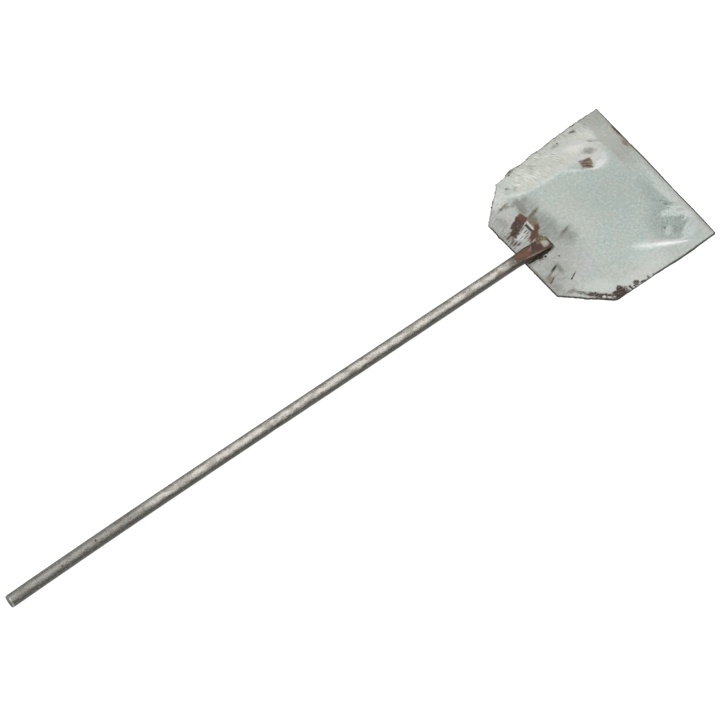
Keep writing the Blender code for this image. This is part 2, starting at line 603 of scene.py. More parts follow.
def round_edges(
    bm: bmesh.types.BMesh, edges: Sequence[bmesh.types.BMEdge], reach: float, segments: int
) -> None:
    """Round some edges of a mesh.

    Args:
        bm: The mesh.
        edges: The edges.
        reach: How far the rounding goes, in the mesh's units.
        segments: How many faces make the rounding.
    """
    bmesh.ops.bevel(
        bm, geom=edges, affect="EDGES", offset=reach, segments=segments, profile=0.5, material=-1
    )


def outline_of(node: str) -> list[Vector]:
    """Return the outline of a flat plate of the frame, in order, seen from above.

    Args:
        node: The plate's node name.

    Returns:
        The corners of its underside, anticlockwise.
    """
    bm = bmesh.new()
    bm.from_mesh(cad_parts[node].data)
    bmesh.ops.remove_doubles(bm, verts=bm.verts[:], dist=0.01 * MM)
    bm.normal_update()
    upper = [face for face in bm.faces if face.normal.z > -0.5]
    bmesh.ops.delete(bm, geom=upper, context="FACES")
    corners = {vert.co.copy().freeze() for edge in bm.edges if edge.is_boundary for vert in edge.verts}
    bm.free()
    centre = sum(corners, Vector()) / len(corners)
    return sorted(corners, key=lambda co: math.atan2(co.y - centre.y, co.x - centre.x))


def make_piece(
    name: str,
    bm: bmesh.types.BMesh,
    materials: Iterable[bpy.types.Material],
    slot: str,
    replaces: Sequence[str] = (),
    sharp_angle: float = 40.0,
) -> bpy.types.Object:
    """Turn a bmesh into a finished piece on the tool's body.

    Args:
        name: The piece's name.
        bm: Its mesh, already in place.
        materials: Its finishes, in slot order.
        slot: Not used.
        replaces: The CAD nodes it stands for.
        sharp_angle: Edges bent by more than this many degrees stay sharp.

    Returns:
        The piece.
    """
    mesh = bpy.data.meshes.new(name)
    bm.to_mesh(mesh)
    bm.free()
    for material in materials:
        mesh.materials.append(material)
    mesh.shade_smooth()
    mesh.set_sharp_from_angle(angle=math.radians(sharp_angle))
    piece = add_object(name, mesh)
    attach(piece, BODY)
    if replaces:
        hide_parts(*replaces)
    LOG.info("%s: %d faces", name, len(mesh.polygons))
    return piece


# ---------------------------------------------------------------------------- blade
@dataclass(frozen=True)
class Swell:
    """A soft rise of the sheet.

    Attributes:
        patch: Where it is; its length and width are where the rise has fallen to a third.
        rise: Its height in millimetres.
    """

    patch: Patch
    rise: float

    def height(self, x: float, y: float) -> float:
        """Return the rise in millimetres at a place on the blade."""
        turn = math.radians(self.patch.turn)
        dx, dy = x - self.patch.x, y - self.patch.y
        along = (dx * math.cos(turn) + dy * math.sin(turn)) / (0.5 * self.patch.length)
        across = (dy * math.cos(turn) - dx * math.sin(turn)) / (0.5 * self.patch.width)
        return self.rise * math.exp(-(along * along + across * across))


FLAT_FACE = 0.75  # upward part of the normal past which a face belongs to the flat sheet


class SheetFace(Enum):
    """The material slots of the blade's mesh."""

    UPPER = 0
    UNDER = 1
    CUT = 2


@dataclass
class Blade:
    """The zinc-coated sheet, with the bends, dents and rough edges of long use."""

    mesh_pitch: float = 1.0
    rim_round: float = 0.22
    wing_lift: float = 1.7
    wing_start: float = 43.0
    wing_width: float = 34.0
    wing_slant: float = 0.12
    wing_slant_from: float = 70.0
    seat_place: float = 10.0
    flat_until: float = 34.0
    flat_fade: float = 24.0
    waviness: float = 0.16
    wave_scale: float = 0.035
    pull_in: tuple[float, float] = (-0.353, -0.457)
    rim_jag: float = 0.75
    cut_jag: float = 0.35
    edge_wander_reach: float = 3.0
    swells: tuple[Swell, ...] = (
        Swell(Patch(102.0, -56.4, 40.0, 4.6, -31.0), 0.42),
        Swell(Patch(130.0, -64.0, 46.0, 26.0, -30.0), 0.55),
        Swell(Patch(103.0, 38.0, 30.0, 26.0, 20.0), 0.60),
        Swell(Patch(102.5, 40.5, 13.0, 12.0, 20.0), -0.75),
        Swell(Patch(108.0, 57.0, 30.0, 7.0, -20.0), 0.45),
        Swell(Patch(137.0, 55.0, 30.0, 60.0, 0.0), 0.50),
        Swell(Patch(62.0, 62.0, 60.0, 16.0, -30.0), 0.35),
        Swell(Patch(80.0, -10.0, 70.0, 60.0, 0.0), 0.30),
        Swell(Patch(127.0, -38.0, 24.0, 16.0, -50.0), 0.25),
    )
    rim_swells: tuple[Swell, ...] = (
        Swell(Patch(49.0, 74.0, 12.0, 8.0), 1.3),
        Swell(Patch(37.5, 72.5, 8.0, 8.0), -1.7),
        Swell(Patch(30.5, 70.5, 6.0, 6.0), 0.9),
        Swell(Patch(71.0, 76.0, 12.0, 8.0), 1.3),
        Swell(Patch(98.0, 77.0, 50.0, 8.0), 1.2),
        Swell(Patch(120.0, 78.0, 36.0, 8.0), 0.8),
        Swell(Patch(108.0, -76.0, 44.0, 8.0), 1.2),
        Swell(Patch(144.0, 12.0, 8.0, 76.0), 1.1),
        Swell(Patch(144.0, -52.0, 8.0, 44.0), 0.8),
        Swell(Patch(0.0, 29.0, 5.0, 4.0), 0.8),
        Swell(Patch(14.0, 56.0, 22.0, 22.0), 0.6),
        Swell(Patch(19.0, -59.5, 6.0, 6.0), 0.7),
    )
    outline: list[Vector] = field(default_factory=lambda: outline_of("blade"))

    def __post_init__(self) -> None:
        """Work out the sides of the outline once."""
        self.rim_sides = self.sides()

    def thickness(self) -> float:
        """Return the sheet's thickness in metres."""
        low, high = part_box("blade")
        return high.z - low.z

    def sides(self) -> list[tuple[Vector, Vector]]:
        """Return a point on each side of the outline, and its outward direction."""
        found = []
        for here, there in zip(self.outline, self.outline[1:] + self.outline[:1]):
            run = there - here
            found.append((here, Vector((run.y, -run.x, 0.0)).normalized()))
        return found

    def rim_distance(self, co: Vector) -> tuple[float, Vector]:
        """Return how far inside the outline a point is, and the nearest side's direction."""
        best, outward = 1.0, Vector()
        for corner, direction in self.rim_sides:
            depth = (corner - co).dot(direction)
            if depth < best:
                best, outward = depth, direction
        return best, outward

    def lift(self, x: float, y: float) -> float:
        """Return how far the sheet stands above flat at a place on it, in millimetres."""
        slanted = y - self.wing_start + self.wing_slant * (x - self.wing_slant_from)
        height = self.wing_lift * ease(slanted / self.wing_width)
        for swell in self.swells:
            height += swell.height(x, y)
        wave = noise.noise(Vector((self.wave_scale * x, self.wave_scale * y, 3.0)))
        height += self.waviness * (1.0 + wave)
        from_seat = math.hypot(x - self.seat_place, 0.9 * y)
        return max(0.0, height) * ease((from_seat - self.flat_until) / self.flat_fade)

    def plate(self) -> bmesh.types.BMesh:
        """Cut a fine grid to the outline and give it the sheet's thickness."""
        low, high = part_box("blade")
        bm = bmesh.new()
        cells = [int((high[axis] - low[axis]) / (self.mesh_pitch * MM)) + 1 for axis in (0, 1)]
        centre = Matrix.Translation(((low.x + high.x) / 2.0, (low.y + high.y) / 2.0, low.z))
        stretch = Matrix.Diagonal(((high.x - low.x) / 2.0, (high.y - low.y) / 2.0, 1.0, 1.0))
        bmesh.ops.create_grid(
            bm, x_segments=cells[0], y_segments=cells[1], size=1.0, matrix=centre @ stretch
        )
        for corner, direction in self.sides():
            bmesh.ops.bisect_plane(
                bm,
                geom=everything(bm),
                dist=0.02 * MM,
                plane_co=corner,
                plane_no=direction,
                clear_outer=True,
            )
        bmesh.ops.remove_doubles(bm, verts=bm.verts[:], dist=0.25 * MM)
        bmesh.ops.recalc_face_normals(bm, faces=bm.faces[:])
        raised = bmesh.ops.extrude_face_region(bm, geom=bm.faces[:], use_keep_orig=True)
        top = only(bmesh.types.BMVert, raised["geom"])
        bmesh.ops.translate(bm, verts=top, vec=(0.0, 0.0, self.thickness()))
        bmesh.ops.recalc_face_normals(bm, faces=bm.faces[:])
        return bm

    def shape(self, bm: bmesh.types.BMesh) -> None:
        """Round the rim, roughen the cut sides and bend the sheet."""
        rim = [
            edge
            for edge in bm.edges
            if len(edge.link_faces) == 2
            and abs(edge.link_faces[0].normal.z) + abs(edge.link_faces[1].normal.z) < 1.5
            and abs(edge.link_faces[0].normal.z - edge.link_faces[1].normal.z) > 0.5
        ]
        round_edges(bm, rim, self.rim_round * MM, 2)
        bm.normal_update()
        for face in bm.faces:
            if face.normal.z > FLAT_FACE:
                face.material_index = SheetFace.UPPER.value
            elif face.normal.z < -FLAT_FACE:
                face.material_index = SheetFace.UNDER.value
            else:
                face.material_index = SheetFace.CUT.value
        reach = self.edge_wander_reach * MM
        rim_distance = bm.verts.layers.float.new(RIM_DISTANCE)
        sheet_place = bm.verts.layers.float_vector.new(SHEET_PLACE)
        for vert in bm.verts:
            depth, outward = self.rim_distance(vert.co)
            x = (vert.co.x - REAR_EDGE) / MM - MARKS_ORIGIN[0]
            y = vert.co.y / MM - MARKS_ORIGIN[1]
            vert[rim_distance] = depth / MM
            vert[sheet_place] = (x, y, 0.0)
            share = max(0.0, 1.0 - depth / reach)
            if share > 0.0:
                vert.co += outward * (self.rim_push(x, y, outward) * share * MM)
            rise = self.lift(x, y)
            vert.co += Vector((*self.pull_in, 1.0)) * (rise * MM)

    def rim_push(self, x: float, y: float, outward: Vector) -> float:
        """Return how far the rim stands out of its straight line, in millimetres."""
        torn = 1.0 if outward.y > 0.7 else self.cut_jag
        jag = noise.noise(Vector((0.85 * x, 0.85 * y, 0.0)))
        jag += 0.8 * noise.noise(Vector((0.2 * x, y, 5.0)))
        push = torn * self.rim_jag * jag
        for swell in self.rim_swells:
            push += swell.height(x, y)
        return push

    def build(self) -> bpy.types.Object:
        """Build and dress the blade."""
        bm = self.plate()
        self.shape(bm)
        materials = (ZincUpper().make(), ZincUnder().make(), CutEdge().make())
        return make_piece("sheet_blade", bm, materials, "galvanised_sheet", ["blade"])


# ------------------------------------------------------- marks on the blade's upper face
# The more neutral grey rear and right side of the sheet.
BARE_METAL = (
    Patch(12, 0, 46, 110, 0, 0.95, 0.4),
    Patch(34, -24, 30, 40, 0, 0.75, 0.6),
    Patch(84, -66, 70, 18, 0, 0.7, 0.6),
    Patch(140, -60, 14, 40, 0, 0.6, 0.6),
)

# The warmer, lighter left side of the sheet: worn polish, and partly a painted reflection of the curved
# sheet.
POLISH_AND_PAINTED_REFLECTION = (
    Patch(82, 65, 92, 32, 0, 0.95, 0.18, True),
    Patch(104, 58, 44, 34, -8, 0.7, 0.4),
    Patch(62, 12, 34, 56, 10, 0.45, 0.6),
    Patch(58, -62, 60, 22, -4, 0.4, 0.5),
)

# The darker left end of the cutting edge: dull zinc, and partly a painted dim reflection of the curved
# sheet.
DULL_CORNER_AND_DIM_REFLECTION = (
    Patch(139, 54, 27, 56, 4, 0.95, 0.12, True),
    Patch(134, 28, 14, 26, 8, 0.6, 0.5),
    Patch(142, -28, 5.6, 96, 0, 0.9, 0.4, True),
)

# The greyer rear part, round the handle's seat.
HANDLED_REAR = (
    Patch(36, 14, 20, 36, 0, 1.15, 0.6),
    Patch(43, -3, 20, 20, 0, 0.90, 0.7),
    Patch(9, 17, 12, 12, 15, 0.9, 0.6),
    Patch(20, 0, 60, 60, 0, 0.45, 0.5),
    Patch(6, 30, 16, 50, 0, 0.50, 0.5),
    Patch(16, -24, 24, 26, 0, 0.65, 0.6),
    Patch(6, -30, 16, 40, 0, 0.60, 0.6),
    Patch(36, 36, 18, 28, -8, 0.75, 0.6),
)

# The greener, darker area towards the right front corner.
DARK_ZONE = (
    Patch(118, -44, 30, 40, -20, 0.85, 0.45),
    Patch(126, -16, 15, 34, 0, 0.65, 0.7),
    Patch(113, -45, 7, 10, 0, 1.3, 0.5),
    Patch(120, -53, 12, 12, 35, 1.4, 0.6),
    stroke((118, -58.0), (131, -50.0), 4.0, 1.4, 0.6),
    Patch(129, -30, 8, 7, -30, 1.3, 0.5),
    Patch(130, -46.6, 10, 4, -10, 1.3, 0.5),
    Patch(128, -25, 5, 5, 0, 1.1, 0.5),
    Patch(97, 10, 60, 50, 0, 0.20, 0.6),
)

# The paler bands along the right clip, the right side and the front, and a painted bluish sheen near the
# left clip.
PALE_RIMS_AND_SHEEN = (
    stroke((22, -50), (46, -64), 13, 0.75, 0.5),
    stroke((40, -66), (96, -71), 11, 0.75, 0.5),
    Patch(70, -70, 34, 8, 0, 0.8, 0.5),
    stroke((138, 14), (137, -70), 8, 0.65, 0.5),
    Patch(124, 62, 7, 14, -10, 0.6, 0.6),
    Patch(100, 68, 50, 6, 0, 0.3, 0.6),
    Patch(14, 19, 12, 8, 15, 0.8, 0.4),
    # Painted sheen near the left clip.
    Patch(22, 57, 20, 11, 40, 0.85, 0.4),
    Patch(6, 38, 6, 14, 0, 0.45, 0.5),
)

# Pale rubbed strokes in the darker area, and a painted highlight along the crease of the left side.
RUB_MARKS_AND_CREASE_HIGHLIGHT = (
    stroke((119, -35.6), (134, -38), 6.4, 1.2, 0.6),
    stroke((124, -38), (139, -48), 4.6, 1.4, 0.5),
    stroke((128, -31.6), (137, -39.6), 2.6, 1.5, 0.5),
    stroke((131, -42.6), (138, -52.0), 2.4, 1.3, 0.5),
    stroke((130, -49.8), (137, -48.6), 1.8, 1.0, 0.5),
    Patch(113.4, -50.2, 8, 5, 30, 0.8, 0.8),
    stroke((122, -59), (133, -53.4), 2.8, 1.0, 0.5),
    Patch(127, -60.5, 15, 9, 20, 0.8, 0.5),
    Patch(118, -63, 8, 3, 0, 0.9, 0.5),
    stroke((133, -8), (135, -30), 4.0, 0.6, 0.5),
    Patch(84, -60, 30, 18, -25, 0.35, 0.5),
    # Painted highlight along the crease of the left side.
    stroke((29, 56), (47, 48.5), 3.0, 1.2, 0.6),
    stroke((44, 48.8), (84, 47.6), 2.8, 0.8, 0.7),
    stroke((82, 47.4), (98, 36), 3.2, 0.9, 0.6),
)

# Painted pinkish highlight round the dents of the left side.
PAINTED_PINK_HIGHLIGHT = (
    stroke((96, 63.4), (120, 55.4), 9.0, 0.95, 0.6),
    Patch(82, 49.5, 12, 8, 0, 0.55, 0.6),
    Patch(115, 40, 13, 17, 0, 0.85, 0.6),
    Patch(100, 49, 16, 6, -10, 0.35, 0.6),
    Patch(122, 62, 7, 9, 0, 0.45, 0.6),
)

# Painted highlights along the ridges where the sheet was bent.
PAINTED_HIGHLIGHT_BENDS = (
    stroke((81, -44.0), (101, -56), 7.4, 0.60, 0.8),
    stroke((91, -49.8), (115, -64.2), 5.2, 0.90, 0.7),
    stroke((100, -56.4), (113, -63.6), 2.2, 0.8, 0.6),
    stroke((108, -61.0), (120.5, -67.6), 1.8, 0.8, 0.6),
    stroke((97, 63.0), (114, 56.8), 3.4, 0.55, 0.8),
    stroke((103, 60.6), (113, 57.2), 2.2, 0.7, 0.8),
    stroke((97, 37.0), (111, 31.2), 2.2, 0.85, 0.7),
    Patch(111, 34.4, 13, 6.4, 0, 0.7, 0.6),
    stroke((116, 32), (121, 41), 4.0, 0.45, 0.7),
)

# Soft grey smudges.
GREY_SMUDGES = (
    Patch(32.6, 41.5, 6.4, 15, -6, 1.3, 0.4),
    Patch(30, 46.5, 9, 4.5, 10, 0.9, 0.5),
    Patch(36, 45.4, 13, 3.0, -4, 0.7, 0.5),
    stroke((37.0, -1.6), (51.5, 2.8), 3.4, 1.3, 0.6),
    Patch(47.5, -6, 8, 8, 0, 0.45, 0.5),
    Patch(19.8, -23, 4.0, 10, -6, 1.1, 0.6),
    Patch(7, -27, 7, 7, 30, 0.8, 0.7),
    Patch(6, -36, 7, 10, 0, 0.6, 0.7),
    Patch(8, 38, 12, 9, 10, 0.5, 0.7),
    Patch(13.5, -46.8, 8, 3.4, -14, 0.8, 0.5),
    stroke((108, 52), (117, 47.4), 6.0, 1.0, 0.6),
    Patch(39.4, 57.4, 4, 3.2, 0, 0.55, 0.6),
    Patch(6, 32, 3, 2.2, 0, 0.9, 0.5),
    stroke((6, 32.6), (15, 34.6), 1.4, 0.7, 0.5),
    stroke((117, 59), (126, 52.5), 2.4, 0.55, 0.6),
    Patch(45.5, 72.4, 11, 3.2, 4, 0.95, 0.4),
    Patch(55, 73.0, 5, 1.6, 0, 0.6, 0.5),
    Patch(93.5, 70.4, 7, 3.6, 0, 0.7, 0.5),
    Patch(113, 72.6, 7, 3.0, 0, 0.8, 0.5),
    Patch(34.5, 61.6, 5, 2.6, -35, 0.8, 0.5),
    Patch(35, 22, 8, 4, 10, 0.5, 0.6),
    Patch(39, 13, 12, 3, 5, 0.5, 0.6),
)

# Greenish-brown stains.
OLIVE_STAINS = (
    stroke((28, 27.8), (43, 32), 3.0, 1.2, 0.5),
    Patch(31.5, 25.6, 9, 8, 0, 1.0, 0.5),
    Patch(14.2, -6.4, 5.0, 4.6, 0, 1.2, 0.4),
    stroke((21.5, -4.8), (29.5, -4.4), 2.8, 1.2, 0.5),
    Patch(30, 37, 4, 8, 0, 0.4, 0.5),
    stroke((14.5, 48.4), (26, 50.2), 2.6, 0.75, 0.5),
    Patch(23, 47.6, 5, 2.4, 20, 0.6, 0.5),
    stroke((2.2, -9), (2.4, -30), 1.6, 0.6, 0.6),
    Patch(25, -5.4, 8, 2.6, -4, 0.8, 0.5),
    Patch(13.5, -7.4, 5, 2.8, 10, 0.95, 0.4),
    Patch(3.5, -3.8, 6, 1.8, 0, 0.6, 0.5),
    Patch(27.6, 10.4, 4.4, 4.0, -30, 0.6, 0.6),
    stroke((62, 69), (68, 64), 1.8, 0.35, 0.6),
    stroke((140.5, 42), (141, 33), 3.2, 0.45, 0.5),
    Patch(3, 27, 4, 8, 0, 0.3, 0.6),
)

# Thin, broken rust.
LIGHT_RUST = (
    Patch(103.2, 41.8, 9.8, 7.6, -14, 1.1, 0.22, True),
    stroke((100, 39.4), (105.5, 35.6), 3.8, 1.1, 0.4),
    Patch(8.5, 24.5, 9, 5, 10, 0.9, 0.3),
    Patch(5.5, 17, 8, 5, 20, 0.6, 0.4),
    Patch(30.5, 21, 5.0, 10, 0, 0.9, 0.4),
    Patch(18.5, 12.4, 5, 3, 20, 0.9, 0.4),
    stroke((142.9, 60), (143.3, 26), 3.0, 0.6, 0.5),
    Patch(141.4, 37, 3.4, 6, 0, 0.8, 0.4),
    stroke((0.8, -33), (1.2, -43), 1.8, 0.6, 0.5),
    stroke((4, -31), (9, -24), 5.0, 0.55, 0.6),
    Patch(20, -24, 3.4, 9, -5, 0.28, 0.6),
    Patch(13.8, -46.4, 6, 3.4, -10, 0.4, 0.6),
    Patch(22, 50, 3, 1.4, 0, 0.5, 0.5),
)

# Deep brown rust.
DARK_RUST = (
    Patch(20.0, 29.4, 13, 8.6, 28, 1.1, 0.14, True),
    Patch(12.6, 24.8, 8.6, 6.4, 22, 1.1, 0.18, True),
    stroke((2.4, 23.0), (9.6, 25.6), 1.3, 0.9, 0.4),
    stroke((5.6, 20.4), (10.4, 22.0), 1.1, 0.8, 0.4),
    Patch(10.6, 21.6, 3.4, 4.0, 0, 0.9, 0.3),
    Patch(6.6, 22.8, 5, 2.0, 12, 0.7, 0.4),
    Patch(30.6, 17.2, 3.6, 4.0, 30, 0.8, 0.4),
    Patch(24.2, 9.8, 7, 2.0, 30, 0.8, 0.4),
    stroke((143.4, 57), (143.6, 44), 1.8, 1.0, 0.4),
    stroke((98.2, 41.4), (105.2, 36.0), 1.6, 0.8, 0.5),
    stroke((99.6, 43.4), (104.6, 39.4), 1.2, 0.7, 0.5),
    stroke((101.4, 45.2), (108.0, 41.8), 1.6, 0.6, 0.5),
    Patch(17.6, -8.3, 1.8, 1.8, 0, 1.0, 0.4),
    Patch(14.0, -5.8, 16, 2.4, -4, 0.9, 0.4),
)

# Red-brown rust, where the heat of the weld burnt the zinc off.
RED_RUST = (
    Patch(26.2, 32.2, 6.0, 8.4, 14, 1.0, 0.16, True),
    stroke((17.0, 9.8), (33, 19.6), 4.8, 1.2, 0.3),
    stroke((20, 11.0), (28, 14.6), 5.4, 1.0, 0.3),
    Patch(30.6, 19.8, 3.4, 3.0, 0, 0.8, 0.4),
)

# The broken rust along the right clip and the right side.
RIM_RUST = (
    stroke((15.6, -49.0), (23, -57), 2.8, 0.75, 0.6),
    stroke((21, -56.0), (30.5, -64.6), 5.2, 1.2, 0.4),
    stroke((25, -60.8), (37, -70.8), 5.0, 1.3, 0.35),
    stroke((26, -65.6), (38, -75.6), 1.6, 1.1, 0.4),
    Patch(38.6, -71.8, 6.0, 7.0, -20, 1.1, 0.3),
    Patch(43.6, -71.8, 10.4, 8.6, 0, 1.4, 0.2, True),
    Patch(45.8, -68.6, 4.6, 7.0, 0, 1.3, 0.3),
    Patch(49.6, -72.0, 5.0, 6.6, 0, 0.9, 0.3),
    stroke((35, -74.6), (52, -75.4), 2.4, 1.2, 0.3),
    Patch(53.8, -73.2, 2.0, 5.0, 0, 1.3, 0.3, True),
    Patch(57.0, -74.0, 1.4, 2.6, 0, 1.2, 0.3, True),
    Patch(60.2, -72.0, 4.6, 4.6, 0, 1.2, 0.35),
    Patch(65.0, -74.4, 4.6, 1.6, 0, 1.2, 0.35),
    Patch(71.2, -73.6, 1.4, 3.0, 0, 1.0, 0.35),
    stroke((54, -75.6), (80, -75.7), 1.4, 0.9, 0.4),
)

# Short dark scratches and spots.
DARK_DASHES = (
    Patch(24.6, 21.4, 2.4, 8.4, 2, 0.95, 0.2, True),
    stroke((4.2, -30.8), (7.6, -29.8), 1.4, 0.9),
    stroke((7.0, -29.6), (11.2, -27.6), 1.2, 0.9),
    stroke((12.0, -22.8), (19.6, -20.0), 2.2, 1.0),
    stroke((43, 0.6), (50.0, 2.6), 1.4, 0.5, 0.6),
    Patch(18.0, -8.4, 1.8, 1.6, 0, 1.2, 0.4),
    stroke((12.4, 21.0), (16.4, 22.0), 0.8, 0.9),
    stroke((17.0, 22.6), (22.0, 24.2), 0.9, 0.8),
    stroke((18.0, 19.9), (22.4, 20.6), 0.9, 0.9),
    stroke((19.0, 17.8), (22.6, 18.4), 0.8, 1.0),
    stroke((7.6, -24.6), (13.6, -23.0), 0.9, 0.8),
    stroke((20.4, -38.0), (28.0, -34.2), 1.1, 0.9),
    Patch(21.4, -37.4, 2.4, 1.6, 25, 1.0, 0.4),
    Patch(96, 71.2, 1.5, 1.3, 0, 0.9, 0.4),
    stroke((111, 73.4), (115.5, 72), 1.4, 0.8),
    stroke((41, 74.2), (48, 72.4), 1.1, 0.8),
    Patch(44, 71.2, 2.6, 1.0, 0, 0.7),
    Patch(34.4, 62.0, 1.8, 1.2, -30, 0.7, 0.4),
    stroke((117.8, 58.6), (120.5, 54.6), 0.8, 0.45),
    Patch(112.6, -46.4, 2.4, 1.6, 10, 0.5, 0.5),
    Patch(128.4, -29.2, 1.6, 2.0, 0, 0.55, 0.5),
    Patch(127.6, -33.6, 1.6, 1.4, 0, 0.45, 0.5),
    Patch(76.2, -74.6, 0.9, 2.4, 0, 0.9, 0.4),
    Patch(66.4, -74.8, 2.2, 1.0, 0, 0.8, 0.4),
    Patch(18.0, 49.0, 2.6, 1.2, 20, 0.6, 0.5),
    stroke((1.6, 20.6), (6, 21.8), 1.0, 0.8),
    stroke((2, 18), (8, 19.4), 1.1, 0.9),
    stroke((3, 15.4), (9.4, 16.8), 1.1, 0.9),
    stroke((6, 13.4), (10.6, 14.4), 1.2, 0.9),
    stroke((2, 12.6), (4.6, 13.2), 0.9, 0.7),
    stroke((14.6, 15.4), (20.4, 16.6), 0.9, 0.8),
    stroke((12.2, 17.2), (16.2, 18.0), 0.8, 0.6),
    Patch(0.9, -39, 1.0, 6, 0, 0.6, 0.4),
)

# Short scratches that show bare metal.
PALE_DASHES = (
    Patch(27.0, 22.4, 1.5, 9.4, -3, 1.0, 0.3, True),
    stroke((12.5, 19.8), (18, 21.2), 0.8, 0.9),
    stroke((17.6, 21.4), (22.2, 22.6), 0.9, 0.9),
    stroke((17.6, 18.8), (22.4, 19.4), 0.8, 0.9),
    stroke((5.4, 25.2), (9.4, 26.4), 0.9, 0.8),
    stroke((4.4, 21.8), (8.4, 23.0), 0.8, 0.7),
    Patch(31.0, -66.6, 3.0, 2.4, -30, 1.2, 0.35),
    stroke((32.5, -68.2), (35.4, -70.6), 1.4, 1.1),
    stroke((20.0, -58.2), (25.4, -62.6), 1.2, 0.8),
    Patch(37.6, -71.6, 1.6, 1.6, 0, 0.8, 0.4),
    Patch(51.4, -72.0, 1.2, 3.0, 0, 0.7, 0.4),
    stroke((14, 10.4), (19, 11.8), 0.8, 0.6),
)


ZINC_BUMP = 0.05 * MM
ZINC_BUMP_STRENGTH = 0.7


@dataclass(frozen=True)
class ZincUpper:
    """The blade's upper face: mottled zinc with worn, stained and rusted places, and painted highlights
    and reflections on its bends and dents.
    """

    name: str = "zinc_upper_face"
    gain: float = 1.58
    roughness: float = 0.46
    metallic: float = 0.40

    @staticmethod
    def broad_layers() -> list[Layer]:
        """Return the broad tones under the grain, the lowest first."""
        metal = {"roughness": 0.44, "metallic": 0.40}
        return [
            Layer((189, 187, 184), BARE_METAL, 1.58, 4.0, (0.1, 0.1), 0.30, **metal),
            Layer((199, 200, 190), POLISH_AND_PAINTED_REFLECTION, 1.62, 3.0, (0.1, 0.1), 0.30, **metal),
            Layer((169, 170, 162), DULL_CORNER_AND_DIM_REFLECTION, 1.58, 1.5, (0.15, 0.15), 0.15, **metal),
            Layer((150, 152, 146), HANDLED_REAR, 1.58, 3.0, (0.12, 0.8), 0.45, 0.55, 0.30),
            Layer((148, 160, 154), DARK_ZONE, 1.60, 2.6, (0.6, 0.7), 0.62, **metal),
            Layer((208, 211, 206), PALE_RIMS_AND_SHEEN, 1.66, 2.0, (0.25, 0.25), 0.35, **metal),
            Layer((208, 215, 211), RUB_MARKS_AND_CREASE_HIGHLIGHT, 1.58, 1.6, (0.5, 0.5), 0.45, **metal),
            Layer((216, 214, 213), PAINTED_PINK_HIGHLIGHT, 1.66, 1.5, (0.3, 0.3), 0.30, **metal),
            Layer((236, 236, 234), PAINTED_HIGHLIGHT_BENDS, 1.66, 0.6, (0.4, 0.4), 0.10, 0.34, 0.45),
        ]

    @staticmethod
    def mark_layers() -> list[Layer]:
        """Return the smudges, rust and scratches over the grain, the lowest first."""
        rust = {"roughness": 0.85, "metallic": 0.0}
        along_handle = (0.30, 1.30)
        return [
            Layer((140, 141, 133), GREY_SMUDGES, 1.45, 1.4, along_handle, 0.45, 0.6, 0.25),
            Layer((112, 106, 88), OLIVE_STAINS, 1.45, 1.2, along_handle, 0.30, 0.7, 0.1),
            Layer((128, 108, 90), LIGHT_RUST, 1.45, 1.2, (0.5, 0.5), 0.30, **rust, relief=0.3),
            Layer((74, 54, 46), DARK_RUST, 1.45, 1.3, along_handle, 0.22, **rust, relief=0.5),
            Layer((100, 68, 56), RED_RUST, 1.45, 1.0, (0.6, 0.9), 0.12, **rust, relief=0.5),
            Layer((66, 49, 42), RIM_RUST, 1.45, 1.6, (1.0, 0.8), 0.42, **rust, relief=0.5),
            Layer((52, 46, 38), DARK_DASHES, 1.45, 0.35, (0.9, 0.9), 0.15, 0.8, 0.05),
            Layer((206, 202, 194), PALE_DASHES, 1.60, 0.3, (1.0, 1.0), 0.15, 0.45, 0.3),
        ]

    def make(self) -> bpy.types.Material:
        """Build the material."""
        bench = NodeBench(self.name)
        place = bench.sheet_place()
        clouds = place.noise(0.05, 3.0, 0.55).ramp(0.38, 0.62)
        mottle = place.noise(0.30, 4.0, 0.65).ramp(0.38, 0.62)
        grain = place.noise(0.40, 4.0, 0.75)
        cool = paint(180, 191, 185, self.gain)
        warm = paint(187, 192, 185, self.gain)
        deep = paint(166, 180, 174, self.gain)
        pale = paint(202, 209, 204, self.gain)
        colour = bench.mix_colour(clouds, cool, warm)
        colour = bench.mix_colour(0.45 * grain.ramp(0.51, 0.38), colour, deep)
        colour = bench.mix_colour(0.40 * grain.ramp(0.49, 0.62), colour, pale)
        colour = bench.mix_colour(0.25 * (1.0 - mottle), colour, deep)
        rough = self.roughness + 0.12 * (mottle - 0.5) + 0.15 * (grain - 0.5)
        surface = Surface(bench, colour, rough, self.metallic, 0.35 * mottle + 0.5 * grain)
        for layer in self.broad_layers():
            surface.lay_patches(place, layer)
        self.add_grain(surface, place, grain)
        self.add_brushing(surface, place)
        for layer in self.mark_layers():
            surface.lay_patches(place, layer)
        self.add_specks(surface, place)
        self.add_rim(surface)
        return surface.finish(ZINC_BUMP, ZINC_BUMP_STRENGTH, gloss=0.2)

    def add_grain(self, surface: Surface, place: Place, grain: Value) -> None:
        """Put fine light and dark grain back over the broad patches."""
        light = Layer((222, 226, 222), (), self.gain, roughness=0.42, metallic=0.4)
        dark = Layer((150, 156, 150), (), self.gain, roughness=0.5, metallic=0.4)
        patchy = place.noise(0.06, 2.0, 0.5).ramp(0.40, 0.60, 0.3, 1.0)
        surface.lay(0.20 * patchy * grain.ramp(0.50, 0.62), light)
        surface.lay(0.22 * patchy * grain.ramp(0.50, 0.38), dark)

